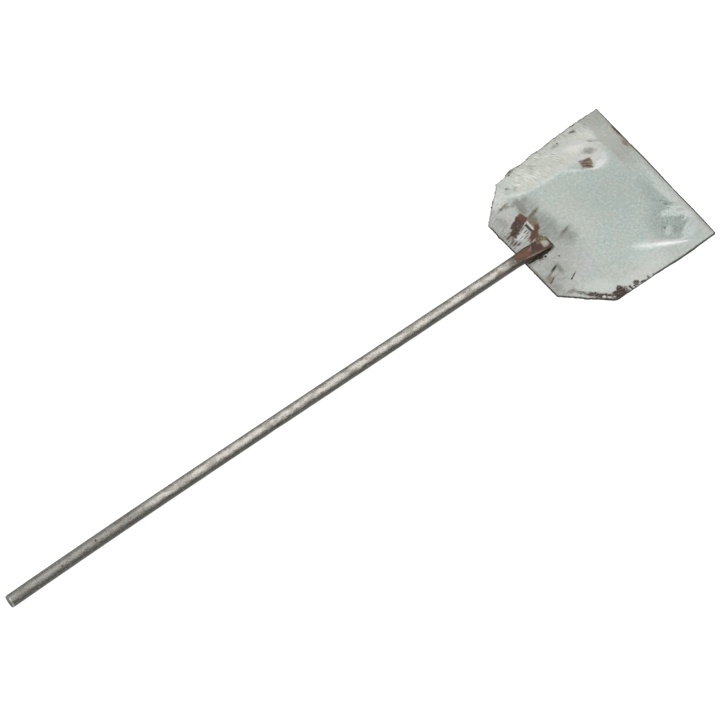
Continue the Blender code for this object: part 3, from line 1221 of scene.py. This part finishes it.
    def add_brushing(self, surface: Surface, place: Place) -> None:
        """Draw fine diagonal strokes over the left side."""
        wavy = place.noise_shift(0.04, 6.0)
        brushed = wavy.within((0.0, 0.0, 0.0), -60.0, (7.0, 0.8, 40.0)).noise(1.0, 3.0, 0.6)
        side = place.along(LEFTWARD).ramp(42.0, 58.0) * place.along(AHEAD).ramp(28.0, 48.0)
        light = Layer((224, 224, 218), (), self.gain, roughness=0.38, metallic=0.45)
        dark = Layer((158, 158, 148), (), self.gain, roughness=0.5, metallic=0.4)
        side = side * place.noise(0.09, 3.0, 0.6).ramp(0.36, 0.60, 0.2, 1.0)
        side = side * place.along(AHEAD).ramp(128.0, 114.0, 0.15, 1.0)
        # Keep the brushing off the painted pink highlight.
        side = side * (1.0 - Patch(108, 60, 34, 14, -18, 0.85, 0.5).mask(place))
        surface.lay(0.80 * side * brushed.ramp(0.50, 0.62), light)
        surface.lay(0.80 * side * brushed.ramp(0.48, 0.36), dark)

    @staticmethod
    def add_specks(surface: Surface, place: Place) -> None:
        """Scatter fine dark specks near the rear, along the left side and at the front."""
        rear = place.along(AHEAD).ramp(38.0, 10.0)
        left = place.along((-0.03, 1.0, 0.0)).ramp(62.0, 71.0)
        front = Patch(124, -34, 24, 54, 0, 0.9, 0.5).mask(place)
        front = front.highest(Patch(131, 6, 15, 56, 0, 0.6, 0.6).mask(place))
        zone = rear.highest(0.9 * left).highest(front)
        specks = place.spots(0.62, 0.45, 0.62) * place.noise(0.2, 2.0).ramp(0.38, 0.56)
        speck = Layer((112, 112, 102), (), 1.45, roughness=0.7, metallic=0.1, relief=-0.4)
        surface.lay(0.8 * zone * specks, speck)

    @staticmethod
    def add_rim(surface: Surface) -> None:
        """Darken the last half millimetre of the sheet."""
        depth = surface.bench.attribute_value(RIM_DISTANCE)
        rim = Layer((60, 56, 47), (), 1.45, roughness=0.7, metallic=0.2)
        place = surface.bench.sheet_place()
        ragged = depth + 0.9 * (place.noise(0.6, 4.0, 0.7) - 0.5)
        left = place.along((-0.04, 1.0, 0.0)).ramp(64.0, 70.0)
        clip = place.along(LEFT_CLIP_OUTWARD).ramp(27.0, 31.0)
        right = Patch(62.0, -76.0, 34.0, 8.0, 0, 1.0, 0.3).mask(place)
        broken = place.noise(0.16, 3.0, 0.6).ramp(0.60, 0.50, 0.15, 0.75)
        kept = 1.0 - left.highest(clip).highest(right) * broken
        surface.lay(0.95 * kept * ragged.ramp(1.4, 0.4), rim)


@dataclass(frozen=True)
class ZincUnder:
    """The blade's underside: the same zinc, rubbed by the ground."""

    name: str = "zinc_underside"

    def make(self) -> bpy.types.Material:
        """Build the material."""
        bench = NodeBench(self.name)
        place = bench.blade_place()
        clouds = place.noise(0.045, 3.0, 0.55).ramp(0.38, 0.62)
        mottle = place.noise(0.5, 3.0, 0.6).ramp(0.36, 0.64)
        grain = place.noise(2.2, 3.0, 0.7)
        colour = bench.mix_colour(clouds, paint(172, 182, 176, 1.4), paint(182, 184, 176, 1.4))
        colour = bench.mix_colour(0.5 * (1.0 - mottle), colour, paint(158, 168, 162, 1.4))
        surface = Surface(bench, colour, 0.5 + 0.2 * (grain - 0.5), 0.4, 0.35 * mottle + 0.5 * grain)
        drawn = place.within((0.0, 0.0, 0.0), 4.0, (26.0, 0.6, 40.0)).noise(1.0, 4.0, 0.6)
        scuff = Layer((206, 209, 204), (), 1.4, roughness=0.35, metallic=0.5, relief=-0.3)
        surface.lay(0.7 * drawn.ramp(0.55, 0.68), scuff)
        soil = Layer((120, 108, 90), (), 1.1, roughness=0.85, metallic=0.0, relief=0.3)
        surface.lay(0.8 * place.noise(0.09, 5.0, 0.7).ramp(0.60, 0.70), soil)
        depth = bench.attribute_value(RIM_DISTANCE)
        ragged = depth + 5.0 * (place.noise(0.35, 4.0, 0.65) - 0.5)
        rust = Layer((104, 74, 58), (), 1.1, roughness=0.85, metallic=0.0, relief=0.5)
        surface.lay(0.85 * ragged.ramp(1.6, 0.2), rust)
        weld_heat = Patch(16, 2, 40, 26, 0, 0.9, 0.5).mask(place.noise_shift(0.2, 4.0))
        burnt = Layer((92, 78, 68), (), 1.1, roughness=0.8, metallic=0.1, relief=0.3)
        surface.lay(weld_heat * place.noise(0.4, 4.0, 0.6).ramp(0.42, 0.55), burnt)
        return surface.finish(ZINC_BUMP, ZINC_BUMP_STRENGTH)


@dataclass(frozen=True)
class CutEdge:
    """The sheared side of the sheet."""

    name: str = "sheared_edge"

    def make(self) -> bpy.types.Material:
        """Build the material."""
        bench = NodeBench(self.name)
        place = bench.blade_place()
        sheared = place.noise(1.6, 4.0, 0.7)
        blotch = place.noise(0.25, 3.0, 0.6).ramp(0.42, 0.6)
        colour = bench.mix_colour(blotch, paint(72, 68, 60, 1.1), paint(92, 76, 62, 1.1))
        colour = bench.mix_colour(0.6 * sheared.ramp(0.55, 0.7), colour, paint(128, 124, 114, 1.2))
        return bench.finish(colour, 0.65 + 0.2 * (sheared - 0.5), 0.4, sheared, 0.12 * MM)


# --------------------------------------------------------------------------- handle
@dataclass
class Handle:
    """The round bar with its hammered tongue, hand-bent a little over its length."""

    sides: int = 64
    shaft_pitch: float = 4.0
    tongue_pitch: float = 0.8
    scarf_length: float = 36.5
    tip_thickness: float = 2.5
    tip_squareness: float = 5.0
    tip_spread: float = 0.4
    butt_round: float = 0.9
    bow_height: float = 1.2
    bow_place: float = 0.28
    nick_place: float = -252.0
    nick_length: float = 9.0
    nick_depth: float = 0.35
    dent_depth: float = 0.06
    hammer_depth: float = 0.16
    crest_kept: float = 6.0
    face_reach: float = 0.35

    def __post_init__(self) -> None:
        """Read the bar's lengths from the frame."""
        low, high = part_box("handle_rod")
        self.rear = REAR_EDGE
        self.seat = sheet_top() + SEAM_GAP * MM
        self.behind = (self.rear - low.x) / MM - 0.01
        self.overlap = (high.x - self.rear) / MM
        self.radius = (high.z - self.seat) / MM / 2.0
        self.droop = math.asin(self.seat / (self.behind * MM))
        self.scarf_start = self.overlap - self.scarf_length

    def bow(self, x: float) -> float:
        """Return the bar's sideways bow in millimetres, x from the rear edge."""
        share = (x + self.behind) / self.behind
        if share >= 1.0:
            return 0.0
        if share < self.bow_place:
            return self.bow_height * math.sin(0.5 * math.pi * share / self.bow_place)
        fall = math.pi * (share - self.bow_place) / (1.0 - self.bow_place)
        return self.bow_height * 0.5 * (1.0 + math.cos(fall))

    def scarf_z(self, x: float) -> float:
        """Return the sloping face's height over the bar's axis, in millimetres."""
        fall = 2.0 * self.radius - self.tip_thickness
        return self.radius - fall * (x - self.overlap + self.scarf_length) / self.scarf_length

    def section(self, x: float, y: float, z: float) -> tuple[float, float]:
        """Move a point of the round section to its place on the hammered end."""
        share = min(1.0, max(0.0, (x - self.scarf_start) / self.scarf_length))
        squareness = 2.0 + (self.tip_squareness - 2.0) * share
        angle = math.atan2(z, y)
        across = abs(math.cos(angle)) ** (2.0 / squareness)
        upward = abs(math.sin(angle)) ** (2.0 / squareness)
        half = self.radius + 0.5 * self.tip_spread * share
        return math.copysign(half * across, y), math.copysign(self.radius * upward, z)

    def draw_bar(self) -> bmesh.types.BMesh:
        """Draw the straight bar, in millimetres, along +X from its far end."""
        shaft_count = int((self.scarf_start + self.behind) / self.shaft_pitch)
        tongue_count = int(self.scarf_length / self.tongue_pitch)
        shaft = np.linspace(-self.behind, self.scarf_start, shaft_count + 1)
        tongue = np.linspace(self.scarf_start, self.overlap, tongue_count + 1)[1:]
        stations = [float(x) for x in (*shaft, *tongue)]
        bm = bmesh.new()
        place = Matrix.Translation((stations[0], 0.0, 0.0)) @ Matrix.Rotation(math.radians(90.0), 4, "Y")
        bmesh.ops.create_circle(
            bm, cap_ends=True, radius=self.radius, segments=self.sides, matrix=place
        )
        rim = bm.edges[:]
        butt = rim
        for previous, station in zip(stations, stations[1:]):
            grown = bmesh.ops.extrude_edge_only(bm, edges=rim)["geom"]
            ring = set(only(bmesh.types.BMVert, grown))
            bmesh.ops.translate(bm, verts=list(ring), vec=(station - previous, 0.0, 0.0))
            rim = [edge for edge in only(bmesh.types.BMEdge, grown) if ring.issuperset(edge.verts)]
        bmesh.ops.contextual_create(bm, geom=rim)
        round_edges(bm, butt, self.butt_round, 4)
        bmesh.ops.recalc_face_normals(bm, faces=bm.faces[:])
        return bm

    def forge(self, bm: bmesh.types.BMesh) -> None:
        """Hammer the end flat, slope its upper side and mark each point's place."""
        round_place = bm.verts.layers.float_vector.new(ROUND_PLACE)
        for vert in bm.verts:
            x, y, z = vert.co
            reach = max(1.0e-6, math.hypot(y, z))
            vert[round_place] = (x, -y / reach, z / reach)
            if x > self.scarf_start:
                vert.co.y, vert.co.z = self.section(x, y, z)
        slope = Vector((2.0 * self.radius - self.tip_thickness, 0.0, self.scarf_length)).normalized()
        cut = bmesh.ops.bisect_plane(
            bm,
            geom=everything(bm),
            dist=0.002,
            plane_co=(self.scarf_start, 0.0, self.radius),
            plane_no=slope,
        )
        crest = only(bmesh.types.BMVert, cut["geom_cut"])
        for vert in bm.verts:
            top = self.scarf_z(vert.co.x)
            if vert.co.z > top:
                vert.co.z = top
        eased = [vert for vert in crest if vert.co.x > self.scarf_start + self.crest_kept]
        for _ in range(2):
            bmesh.ops.smooth_vert(
                bm, verts=eased, factor=0.5, use_axis_x=False, use_axis_y=True, use_axis_z=True
            )

    def wear(self, bm: bmesh.types.BMesh) -> None:
        """Give the bar its shallow dents, its nick, the hammer's marks and its bow."""
        for vert in bm.verts:
            x, y, z = vert.co
            outward = Vector((0.0, y, z)).normalized() if math.hypot(y, z) > 0.5 else Vector()
            dents = noise.noise(Vector((0.09 * x, 0.35 * y, 0.35 * z)))
            vert.co += outward * (self.dent_depth * dents)
            near = math.exp(-(((x - self.nick_place) / (0.5 * self.nick_length)) ** 2))
            lower_right = max(0.0, (-0.8 * y - 0.6 * z) / self.radius - 0.75) * 4.0
            vert.co -= outward * (self.nick_depth * near * lower_right)
            if x > self.scarf_start and abs(z - self.scarf_z(x)) < self.face_reach:
                blow = noise.noise(Vector((0.28 * x, 0.34 * y, 9.0)))
                vert.co.z += self.hammer_depth * (blow - 0.25)
            vert.co.y += self.bow(x)

    def build(self) -> bpy.types.Object:
        """Build and dress the handle."""
        bm = self.draw_bar()
        self.forge(bm)
        self.wear(bm)
        seat = Matrix.Translation((self.rear, 0.0, self.seat + self.radius * MM / math.cos(self.droop)))
        place = seat @ Euler((0.0, -self.droop, 0.0)).to_matrix().to_4x4() @ Matrix.Scale(MM, 4)
        bmesh.ops.transform(bm, matrix=place, verts=bm.verts[:])
        bmesh.ops.recalc_face_normals(bm, faces=bm.faces[:])
        slope = self.scarf_z(1.0) - self.scarf_z(0.0)
        material = BarSteel(self.scarf_z(0.0), slope, self.seat / MM + self.radius).make()
        return make_piece("round_bar_handle", bm, [material], "rod_steel", ["handle_rod"], 50.0)


# ---------------------------------------------------- marks on the bar's sloping face
SCARF_GRAIN = (0.7, 0.9)
SCARF_BROWN = (Patch(11, 0, 44, 16, 0, 1.0, 0.2),)
SCARF_ORANGE = (
    stroke((-8.0, 0.6), (6.0, -0.2), 4.2, 1.1, 0.4),
    Patch(2.6, -0.6, 8.0, 5.4, 0, 1.0, 0.4),
)
SCARF_GREY_STRIP = (stroke((-4, 3.6), (14, 4.4), 2.6, 0.9, 0.4),)
SCARF_PALE_SPOT = (Patch(7.4, 1.0, 3.6, 3.0, 0, 0.8, 0.5),)
SCARF_RED = (Patch(15.6, 0.4, 9.0, 7.4, 8, 1.0, 0.3),)
SCARF_DARK_LINES = (
    stroke((9.6, -1.4), (13.4, 4.6), 2.0, 0.75, 0.4),
    stroke((20.0, -4.6), (21.0, 1.4), 1.4, 0.6, 0.5),
    stroke((28.2, -6), (28.2, 6), 1.8, 0.95, 0.4),
    stroke((-3, 4.6), (22, 5.0), 1.2, 0.75, 0.5),
)
SCARF_TAN = (Patch(19.6, 3.6, 5.0, 3.0, 20, 0.8, 0.4),)
SCARF_WHITE = (
    Patch(23.6, 0.4, 6.4, 6.6, 18, 1.2, 0.35),
    Patch(21.8, -1.4, 4.0, 3.4, 18, 0.9, 0.4),
    stroke((8.6, 0.2), (11.4, 4.6), 1.0, 0.35, 0.5),
)
# Painted highlight along the lit right edge of the sloping face.
SCARF_EDGE_HIGHLIGHT = (stroke((-4, -4.4), (19, -5.0), 1.2, 0.7, 0.4),)
SCARF_TINT = (Patch(25.4, 4.2, 5.2, 4.2, -10, 0.95, 0.35),)


@dataclass(frozen=True)
class BarSteel:
    """Bare round bar with patchy mill scale, and rust on the hammered end, with a painted highlight along
    its top and painted shade on its lower right side.

    Attributes:
        scarf_height: Height of the sloping face over the bar's axis at the rear edge.
        scarf_slope: Its change in height per millimetre along the bar.
        axis_height: Height of the bar's axis there, over the floor.
    """

    scarf_height: float
    scarf_slope: float
    axis_height: float
    name: str = "bar_steel"

    def make(self) -> bpy.types.Material:
        """Build the material."""
        bench = NodeBench(self.name)
        turned = bench.attribute_place(ROUND_PLACE)
        place = bench.blade_place()
        along = turned.along(AHEAD)
        scale = turned * (0.16, 2.0, 2.0)
        blotch = scale.noise(0.9, 4.0, 0.6)
        speck = (turned * (1.0, 5.0, 5.0)).noise(1.0, 3.0, 0.75)
        wander = 0.35 * (blotch - 0.5) + 0.25 * (speck - 0.5)
        # Painted light by the turn round the bar: top measures the way towards the painted highlight on
        # the top, left the way out of the painted shade on the lower right side.
        top = turned.along((0.0, math.sin(math.radians(10.0)), math.cos(math.radians(10.0)))) + wander
        left = turned.along((0.0, -0.94, 0.34)) + wander
        crown_bright_share = along.ramp(-395.0, -345.0)
        # Painted shade for the lower right side, the flank's own tone, and a painted highlight for the
        # top that is dimmer over the part near the butt.
        dark = paint(86, 83, 77, 1.45)
        flank = paint(128, 127, 120, 1.55)
        painted_highlight_crown = bench.mix_colour(crown_bright_share, paint(158, 156, 149, 1.66), paint(200, 196, 188, 1.36))
        colour = bench.mix_colour(left.ramp(-0.2, 0.5), dark, flank)
        colour = bench.mix_colour(top.ramp(0.70, 0.97), colour, painted_highlight_crown)
        scale_patch = (turned * (0.11, 1.2, 1.2)).noise(1.0, 4.0, 0.7)
        colour = bench.mix_colour(0.5 * scale_patch.ramp(0.55, 0.40), colour, paint(112, 108, 98, 1.6))
        colour = bench.mix_colour(0.75 * speck.ramp(0.48, 0.34), colour, paint(84, 80, 72, 1.5))
        colour = bench.mix_colour(0.5 * speck.ramp(0.54, 0.68), colour, paint(206, 202, 194, 1.7))
        rough = 0.50 + 0.25 * (blotch - 0.5) + 0.3 * (speck - 0.5)
        surface = Surface(bench, colour, rough, 0.45, 0.6 * blotch + 0.8 * speck)
        self.add_stains(surface, along, turned)
        self.add_butt(surface, along, turned)
        self.add_scarf(surface, place)
        return surface.finish(bump_depth=0.10 * MM, bump_strength=0.8)

    @staticmethod
    def add_stains(surface: Surface, along: Value, turned: Place) -> None:
        """Darken the rod near the blade and add its few dark spots and its rusty tinge."""
        near = along.ramp(-24.0, -8.0) * (turned * (0.5, 2.5, 2.5)).noise(1.0, 4.0, 0.65).ramp(0.34, 0.52)
        surface.lay(0.85 * near, Layer((84, 72, 60), (), 1.5, roughness=0.6, metallic=0.2))
        place = turned * (1.0, 5.35, 5.35)
        rust = Layer((128, 104, 88), (), 1.5, roughness=0.7, metallic=0.1)
        tinge = place.distance((-26.0, 3.8, 3.8)).ramp(5.0, 1.5)
        surface.lay(0.6 * tinge, rust)
        spot = Layer((62, 58, 52), (), 1.5, roughness=0.7, metallic=0.1, relief=-0.5)
        spots = place.distance((-54.5, 4.0, 3.5)).ramp(1.1, 0.4)
        spots = spots.highest(place.distance((-420.0, 1.0, 5.2)).ramp(1.3, 0.4))
        spots = spots.highest(place.distance((-452.0, 2.6, 4.6)).ramp(1.4, 0.4))
        spots = spots.highest(place.distance((-250.0, 4.6, 2.6)).ramp(2.4, 0.8))
        surface.lay(0.9 * spots, spot)

    @staticmethod
    def add_butt(surface: Surface, along: Value, turned: Place) -> None:
        """Darken the sawn end, partly painted shade, and brighten its rim: worn metal with a painted
        highlight.
        """
        rim = along.ramp(-497.6, -499.4) * turned.noise(0.8, 3.0).ramp(0.40, 0.55)
        surface.lay(0.75 * rim, Layer((204, 202, 196), (), 1.4, roughness=0.35, metallic=0.6))
        surface.lay(0.85 * along.ramp(-499.7, -499.95), Layer((64, 62, 58), (), 1.2, roughness=0.7))

    def add_scarf(self, surface: Surface, place: Place) -> None:
        """Rust the sloping face, and darken the sides of the hammered end with rust and painted shade."""
        seat_height = self.axis_height
        face = place.along((-self.scarf_slope, 0.0, 1.0)) - (seat_height + self.scarf_height)
        on_face = face.ramp(-0.55, -0.25)
        at_tongue = place.along(AHEAD).ramp(-10.0, 3.0)
        rough_rust = place.noise(0.7, 4.0, 0.65)
        # Dark brown on the sides of the hammered end: rust, and painted shade of its sides.
        side = Layer((70, 56, 46), (), 1.1, roughness=0.8, metallic=0.2, relief=0.4)
        surface.lay(at_tongue * rough_rust.ramp(0.36, 0.5) * (1.0 - on_face) * 0.9, side)
        wandered = place.noise_shift(0.4, 0.8, 3.0)
        for layer in self.scarf_layers():
            mask = on_face * united(layer.patches, wandered)
            surface.lay(mask * unbroken(place, layer, 0.42, 0.58), layer)

    @staticmethod
    def scarf_layers() -> list[Layer]:
        """Return the marks on the sloping face, the lowest first."""
        rust = {"gain": 1.45, "grain": SCARF_GRAIN, "roughness": 0.8, "metallic": 0.05, "relief": 0.3}
        bare = {"gain": 1.60, "grain": SCARF_GRAIN}
        tinted = {"gain": 1.50, "grain": SCARF_GRAIN}
        return [
            Layer((84, 68, 58), SCARF_BROWN, broken=0.15, **rust),
            Layer((124, 84, 62), SCARF_ORANGE, broken=0.55, **rust),
            Layer((96, 78, 70), SCARF_GREY_STRIP, broken=0.3, **rust),
            Layer((156, 104, 86), SCARF_PALE_SPOT, broken=0.3, **rust),
            Layer((84, 58, 54), SCARF_RED, broken=0.2, **rust),
            Layer((52, 46, 40), SCARF_DARK_LINES, broken=0.25, **rust),
            Layer((132, 108, 88), SCARF_TAN, broken=0.3, **rust),
            Layer((194, 194, 180), SCARF_WHITE, broken=0.45, roughness=0.45, metallic=0.35, **bare),
            Layer((168, 142, 130), SCARF_EDGE_HIGHLIGHT, broken=0.3, roughness=0.5, metallic=0.3, **bare),
            Layer((134, 128, 92), SCARF_TINT, broken=0.3, roughness=0.5, metallic=0.3, **tinted),
        ]


# ---------------------------------------------------------------------------- welds
class WeldTone(Enum):
    """The look of solidified weld metal."""

    BURNT = "burnt_weld"
    TINTED = "tinted_weld"


@dataclass(frozen=True)
class WeldMetal:
    """Crusted weld metal, rusted in its hollows or tinted by heat."""

    tone: WeldTone

    def make(self) -> bpy.types.Material:
        """Build the material."""
        bench = NodeBench(self.tone.value)
        place = bench.blade_place()
        crust = place.noise(0.9, 4.0, 0.65)
        fine = place.noise(3.0, 3.0, 0.7)
        if self.tone is WeldTone.BURNT:
            colour = bench.mix_colour(
                crust.ramp(0.42, 0.62), paint(44, 36, 31, 1.45), paint(84, 62, 50, 1.45)
            )
            colour = bench.mix_colour(0.4 * fine.ramp(0.58, 0.7), colour, paint(118, 102, 86, 1.45))
            rough, metal = 0.72, 0.25
        else:
            colour = bench.mix_colour(
                crust.ramp(0.40, 0.62), paint(104, 98, 68, 1.4), paint(164, 160, 120, 1.4)
            )
            colour = bench.mix_colour(0.5 * fine.ramp(0.58, 0.7), colour, paint(186, 182, 150, 1.5))
            rough, metal = 0.5, 0.45
        return bench.finish(colour, rough + 0.2 * (fine - 0.5), metal, crust + 0.5 * fine, 0.25 * MM)


@dataclass(frozen=True)
class Lump:
    """One pool of weld metal.

    Attributes:
        x: Centre, in millimetres from the rear edge.
        y: Centre, from the handle's line.
        z: Centre, above the sheet's upper face.
        radius: Its radius in millimetres.
        stretch: Its length along the handle, as a share of its width.
    """

    x: float
    y: float
    z: float
    radius: float
    stretch: float = 1.2


@dataclass
class WeldBead:
    """A run of weld pools, fused into one crusted bead."""

    name: str
    node: str
    slot: str
    tone: WeldTone
    lumps: Sequence[Lump]
    voxel: float = 0.28
    crust: float = 0.22

    def fused_mesh(self) -> bmesh.types.BMesh:
        """Fuse the pools, in millimetres, and roughen their crust."""
        bm = bmesh.new()
        for lump in self.lumps:
            size = Matrix.Diagonal((lump.radius * lump.stretch, lump.radius, lump.radius, 1.0))
            centre = Matrix.Translation((lump.x, lump.y, lump.z))
            bmesh.ops.create_icosphere(bm, subdivisions=3, radius=1.0, matrix=centre @ size)
        rough = bpy.data.meshes.new(self.name + "_pools")
        bm.to_mesh(rough)
        bm.free()
        carrier = add_object(self.name + "_pools", rough)
        remesh = carrier.modifiers.new("fuse", "REMESH")
        remesh.mode = "VOXEL"
        remesh.voxel_size = self.voxel
        graph = bpy.context.evaluated_depsgraph_get()
        fused = bpy.data.meshes.new_from_object(carrier.evaluated_get(graph))
        bpy.data.objects.remove(carrier, do_unlink=True)
        result = bmesh.new()
        result.from_mesh(fused)
        for _ in range(4):
            bmesh.ops.smooth_vert(
                result,
                verts=result.verts[:],
                factor=0.5,
                use_axis_x=True,
                use_axis_y=True,
                use_axis_z=True,
            )
        result.normal_update()
        for vert in result.verts:
            vert.co += vert.normal * (self.crust * noise.noise(1.1 * vert.co))
        return result

    def build(self) -> bpy.types.Object:
        """Build and dress the bead."""
        bm = self.fused_mesh()
        top = sheet_top()
        place = Matrix.Translation((REAR_EDGE, 0.0, top)) @ Matrix.Scale(MM, 4)
        bmesh.ops.transform(bm, matrix=place, verts=bm.verts[:])
        return make_piece(self.name, bm, [WeldMetal(self.tone).make()], self.slot, [self.node], 80.0)


@dataclass
class Welds:
    """The two beads beside the tongue, the tack on its tip, and the spatter."""

    seed: int = 11
    spatter: tuple[tuple[float, float, float], ...] = (
        (26.5, -14.7, 0.62),
        (17.4, -8.5, 0.70),
        (29.5, -9.0, 0.28),
        (8.4, -11.6, 0.30),
        (31.5, 8.8, 0.30),
        (12.0, 12.2, 0.26),
    )

    def run_of_lumps(
        self, start: float, end: float, line: float, height: float, radius: float, pitch: float
    ) -> list[Lump]:
        """Return pools in a row beside the tongue.

        Args:
            start: First pool, in millimetres from the rear edge.
            end: Last pool.
            line: The row's distance from the handle's line, signed.
            height: The pools' centre above the sheet.
            radius: Their mean radius.
            pitch: Their spacing.

        Returns:
            The pools.
        """
        chance = random.Random(self.seed + int(10 * line))
        count = int((end - start) / pitch)
        lumps = []
        for index in range(count + 1):
            share = index / count
            taper = 0.72 + 0.28 * math.sin(math.pi * share)
            size = radius * taper * chance.uniform(0.85, 1.15)
            drift = chance.uniform(-0.3, 0.3)
            lumps.append(Lump(start + share * (end - start), line + drift, height, size))
        return lumps

    def build(self) -> list[bpy.types.Object]:
        """Build every weld."""
        right = self.run_of_lumps(start=3.0, end=24.5, line=-5.6, height=0.4, radius=1.15, pitch=1.3)
        right += [Lump(13.0, -6.6, 0.0, 1.1), Lump(15.2, -6.8, 0.0, 0.9), Lump(20.5, -6.3, 0.1, 0.9)]
        left = self.run_of_lumps(start=5.0, end=18.0, line=6.2, height=0.6, radius=1.7, pitch=1.7)
        left += [Lump(15.5, 5.9, 1.6, 1.8), Lump(18.0, 5.8, 1.6, 1.7)]
        tack = [
            Lump(22.2, 6.1, 1.4, 1.9),
            Lump(24.4, 5.7, 1.6, 1.9),
            Lump(26.0, 5.5, 1.2, 1.6),
            Lump(24.2, 7.6, 0.5, 1.7),
            Lump(26.2, 7.8, 0.2, 1.5),
            Lump(25.6, 9.2, -0.2, 1.3),
        ]
        beads = [
            WeldBead("right_weld", "weld_bead_right", "weld_steel", WeldTone.BURNT, right),
            WeldBead("left_weld", "weld_bead_left", "weld_steel", WeldTone.BURNT, left),
            WeldBead("tip_tack_weld", "weld_tack_tip", "tinted_weld", WeldTone.TINTED, tack),
        ]
        return [bead.build() for bead in beads] + [self.build_spatter()]

    def build_spatter(self) -> bpy.types.Object:
        """Build the small beads of spatter stuck to the sheet."""
        top = sheet_top()
        bm = bmesh.new()
        for x, y, radius in self.spatter:
            centre = Vector((REAR_EDGE + x * MM, y * MM, top + 0.2 * radius * MM))
            size = Matrix.Diagonal((radius * MM, radius * MM, 0.8 * radius * MM, 1.0))
            bmesh.ops.create_icosphere(
                bm, subdivisions=3, radius=1.0, matrix=Matrix.Translation(centre) @ size
            )
        material = WeldMetal(WeldTone.BURNT).make()
        return make_piece("weld_spatter", bm, [material], "weld_steel", (), 80.0)


# --------------------------------------------------------------------------- studio
@dataclass
class Studio:
    """A plain pale floor, one large soft light overhead and the camera."""

    floor_size: float = 8.0
    floor_drop: float = 0.0003
    floor_glow: float = 0.85
    light_size: float = 3.6
    light_height: float = 2.6
    light_nearer: float = 0.1
    light_power: float = 118.0
    sky_strength: float = 0.36
    lens: float = 135.0
    sensor: float = 36.0
    target: tuple[float, float, float] = (-0.2319, 0.0075, 0.0)
    azimuth: float = -37.66
    elevation: float = 60.0
    distance: float = 2.1429

    def build_floor(self) -> None:
        """Lay the floor just under the tool."""
        bench = NodeBench("pale_floor")
        place = bench.object_place()
        cloud = place.noise(3.0, 2.0)
        colour = bench.mix_colour(cloud, (0.34, 0.34, 0.34, 1.0), (0.36, 0.36, 0.36, 1.0))
        material = bench.finish(colour, 0.9, 0.0, cloud, 0.01 * MM)
        shader = material.node_tree.nodes["Principled BSDF"]
        shader.inputs["Emission Color"].default_value = (1.0, 1.0, 1.0, 1.0)
        shader.inputs["Emission Strength"].default_value = self.floor_glow
        bm = bmesh.new()
        low = Matrix.Translation((0.0, 0.0, -self.floor_drop))
        bmesh.ops.create_grid(bm, x_segments=4, y_segments=4, size=self.floor_size / 2.0, matrix=low)
        mesh = bpy.data.meshes.new("floor")
        bm.to_mesh(mesh)
        bm.free()
        mesh.materials.append(material)
        floor = add_object("floor", mesh)

    def build_light(self) -> None:
        """Hang the soft light and set the sky."""
        light = bpy.data.lights.new("overhead_softbox", "AREA")
        light.shape = "SQUARE"
        light.size = self.light_size
        light.energy = self.light_power
        lamp = add_object("overhead_softbox", light)
        lamp.location = (self.target[0], self.target[1] - self.light_nearer, self.light_height)
        world = bpy.data.worlds.new("studio")
        world.use_nodes = True
        background = world.node_tree.nodes["Background"]
        background.inputs["Color"].default_value = (0.97, 0.99, 1.0, 1.0)
        background.inputs["Strength"].default_value = self.sky_strength
        bpy.context.scene.world = world

    def build_camera(self) -> None:
        """Set up the camera."""
        azimuth, elevation = math.radians(self.azimuth), math.radians(self.elevation)
        back = Vector((
            math.sin(azimuth) * math.cos(elevation),
            -math.cos(azimuth) * math.cos(elevation),
            math.sin(elevation),
        ))
        lens = bpy.data.cameras.new("camera")
        lens.lens = self.lens
        lens.sensor_width = self.sensor
        camera = add_object("camera", lens)
        camera.location = Vector(self.target) + back * self.distance
        camera.rotation_euler = (-back).to_track_quat("-Z", "Y").to_euler()
        bpy.context.scene.camera = camera

    def build(self) -> None:
        """Build the whole studio."""
        self.build_camera()
        self.build_floor()
        self.build_light()
        bpy.context.scene.view_settings.view_transform = "Standard"


def main() -> None:
    """Build the tool's looks and the studio."""
    logging.basicConfig(level=logging.INFO, format="%(name)s %(message)s")
    Studio().build()
    Blade().build()
    Handle().build()
    Welds().build()


if __name__ == "__main__":
    main()
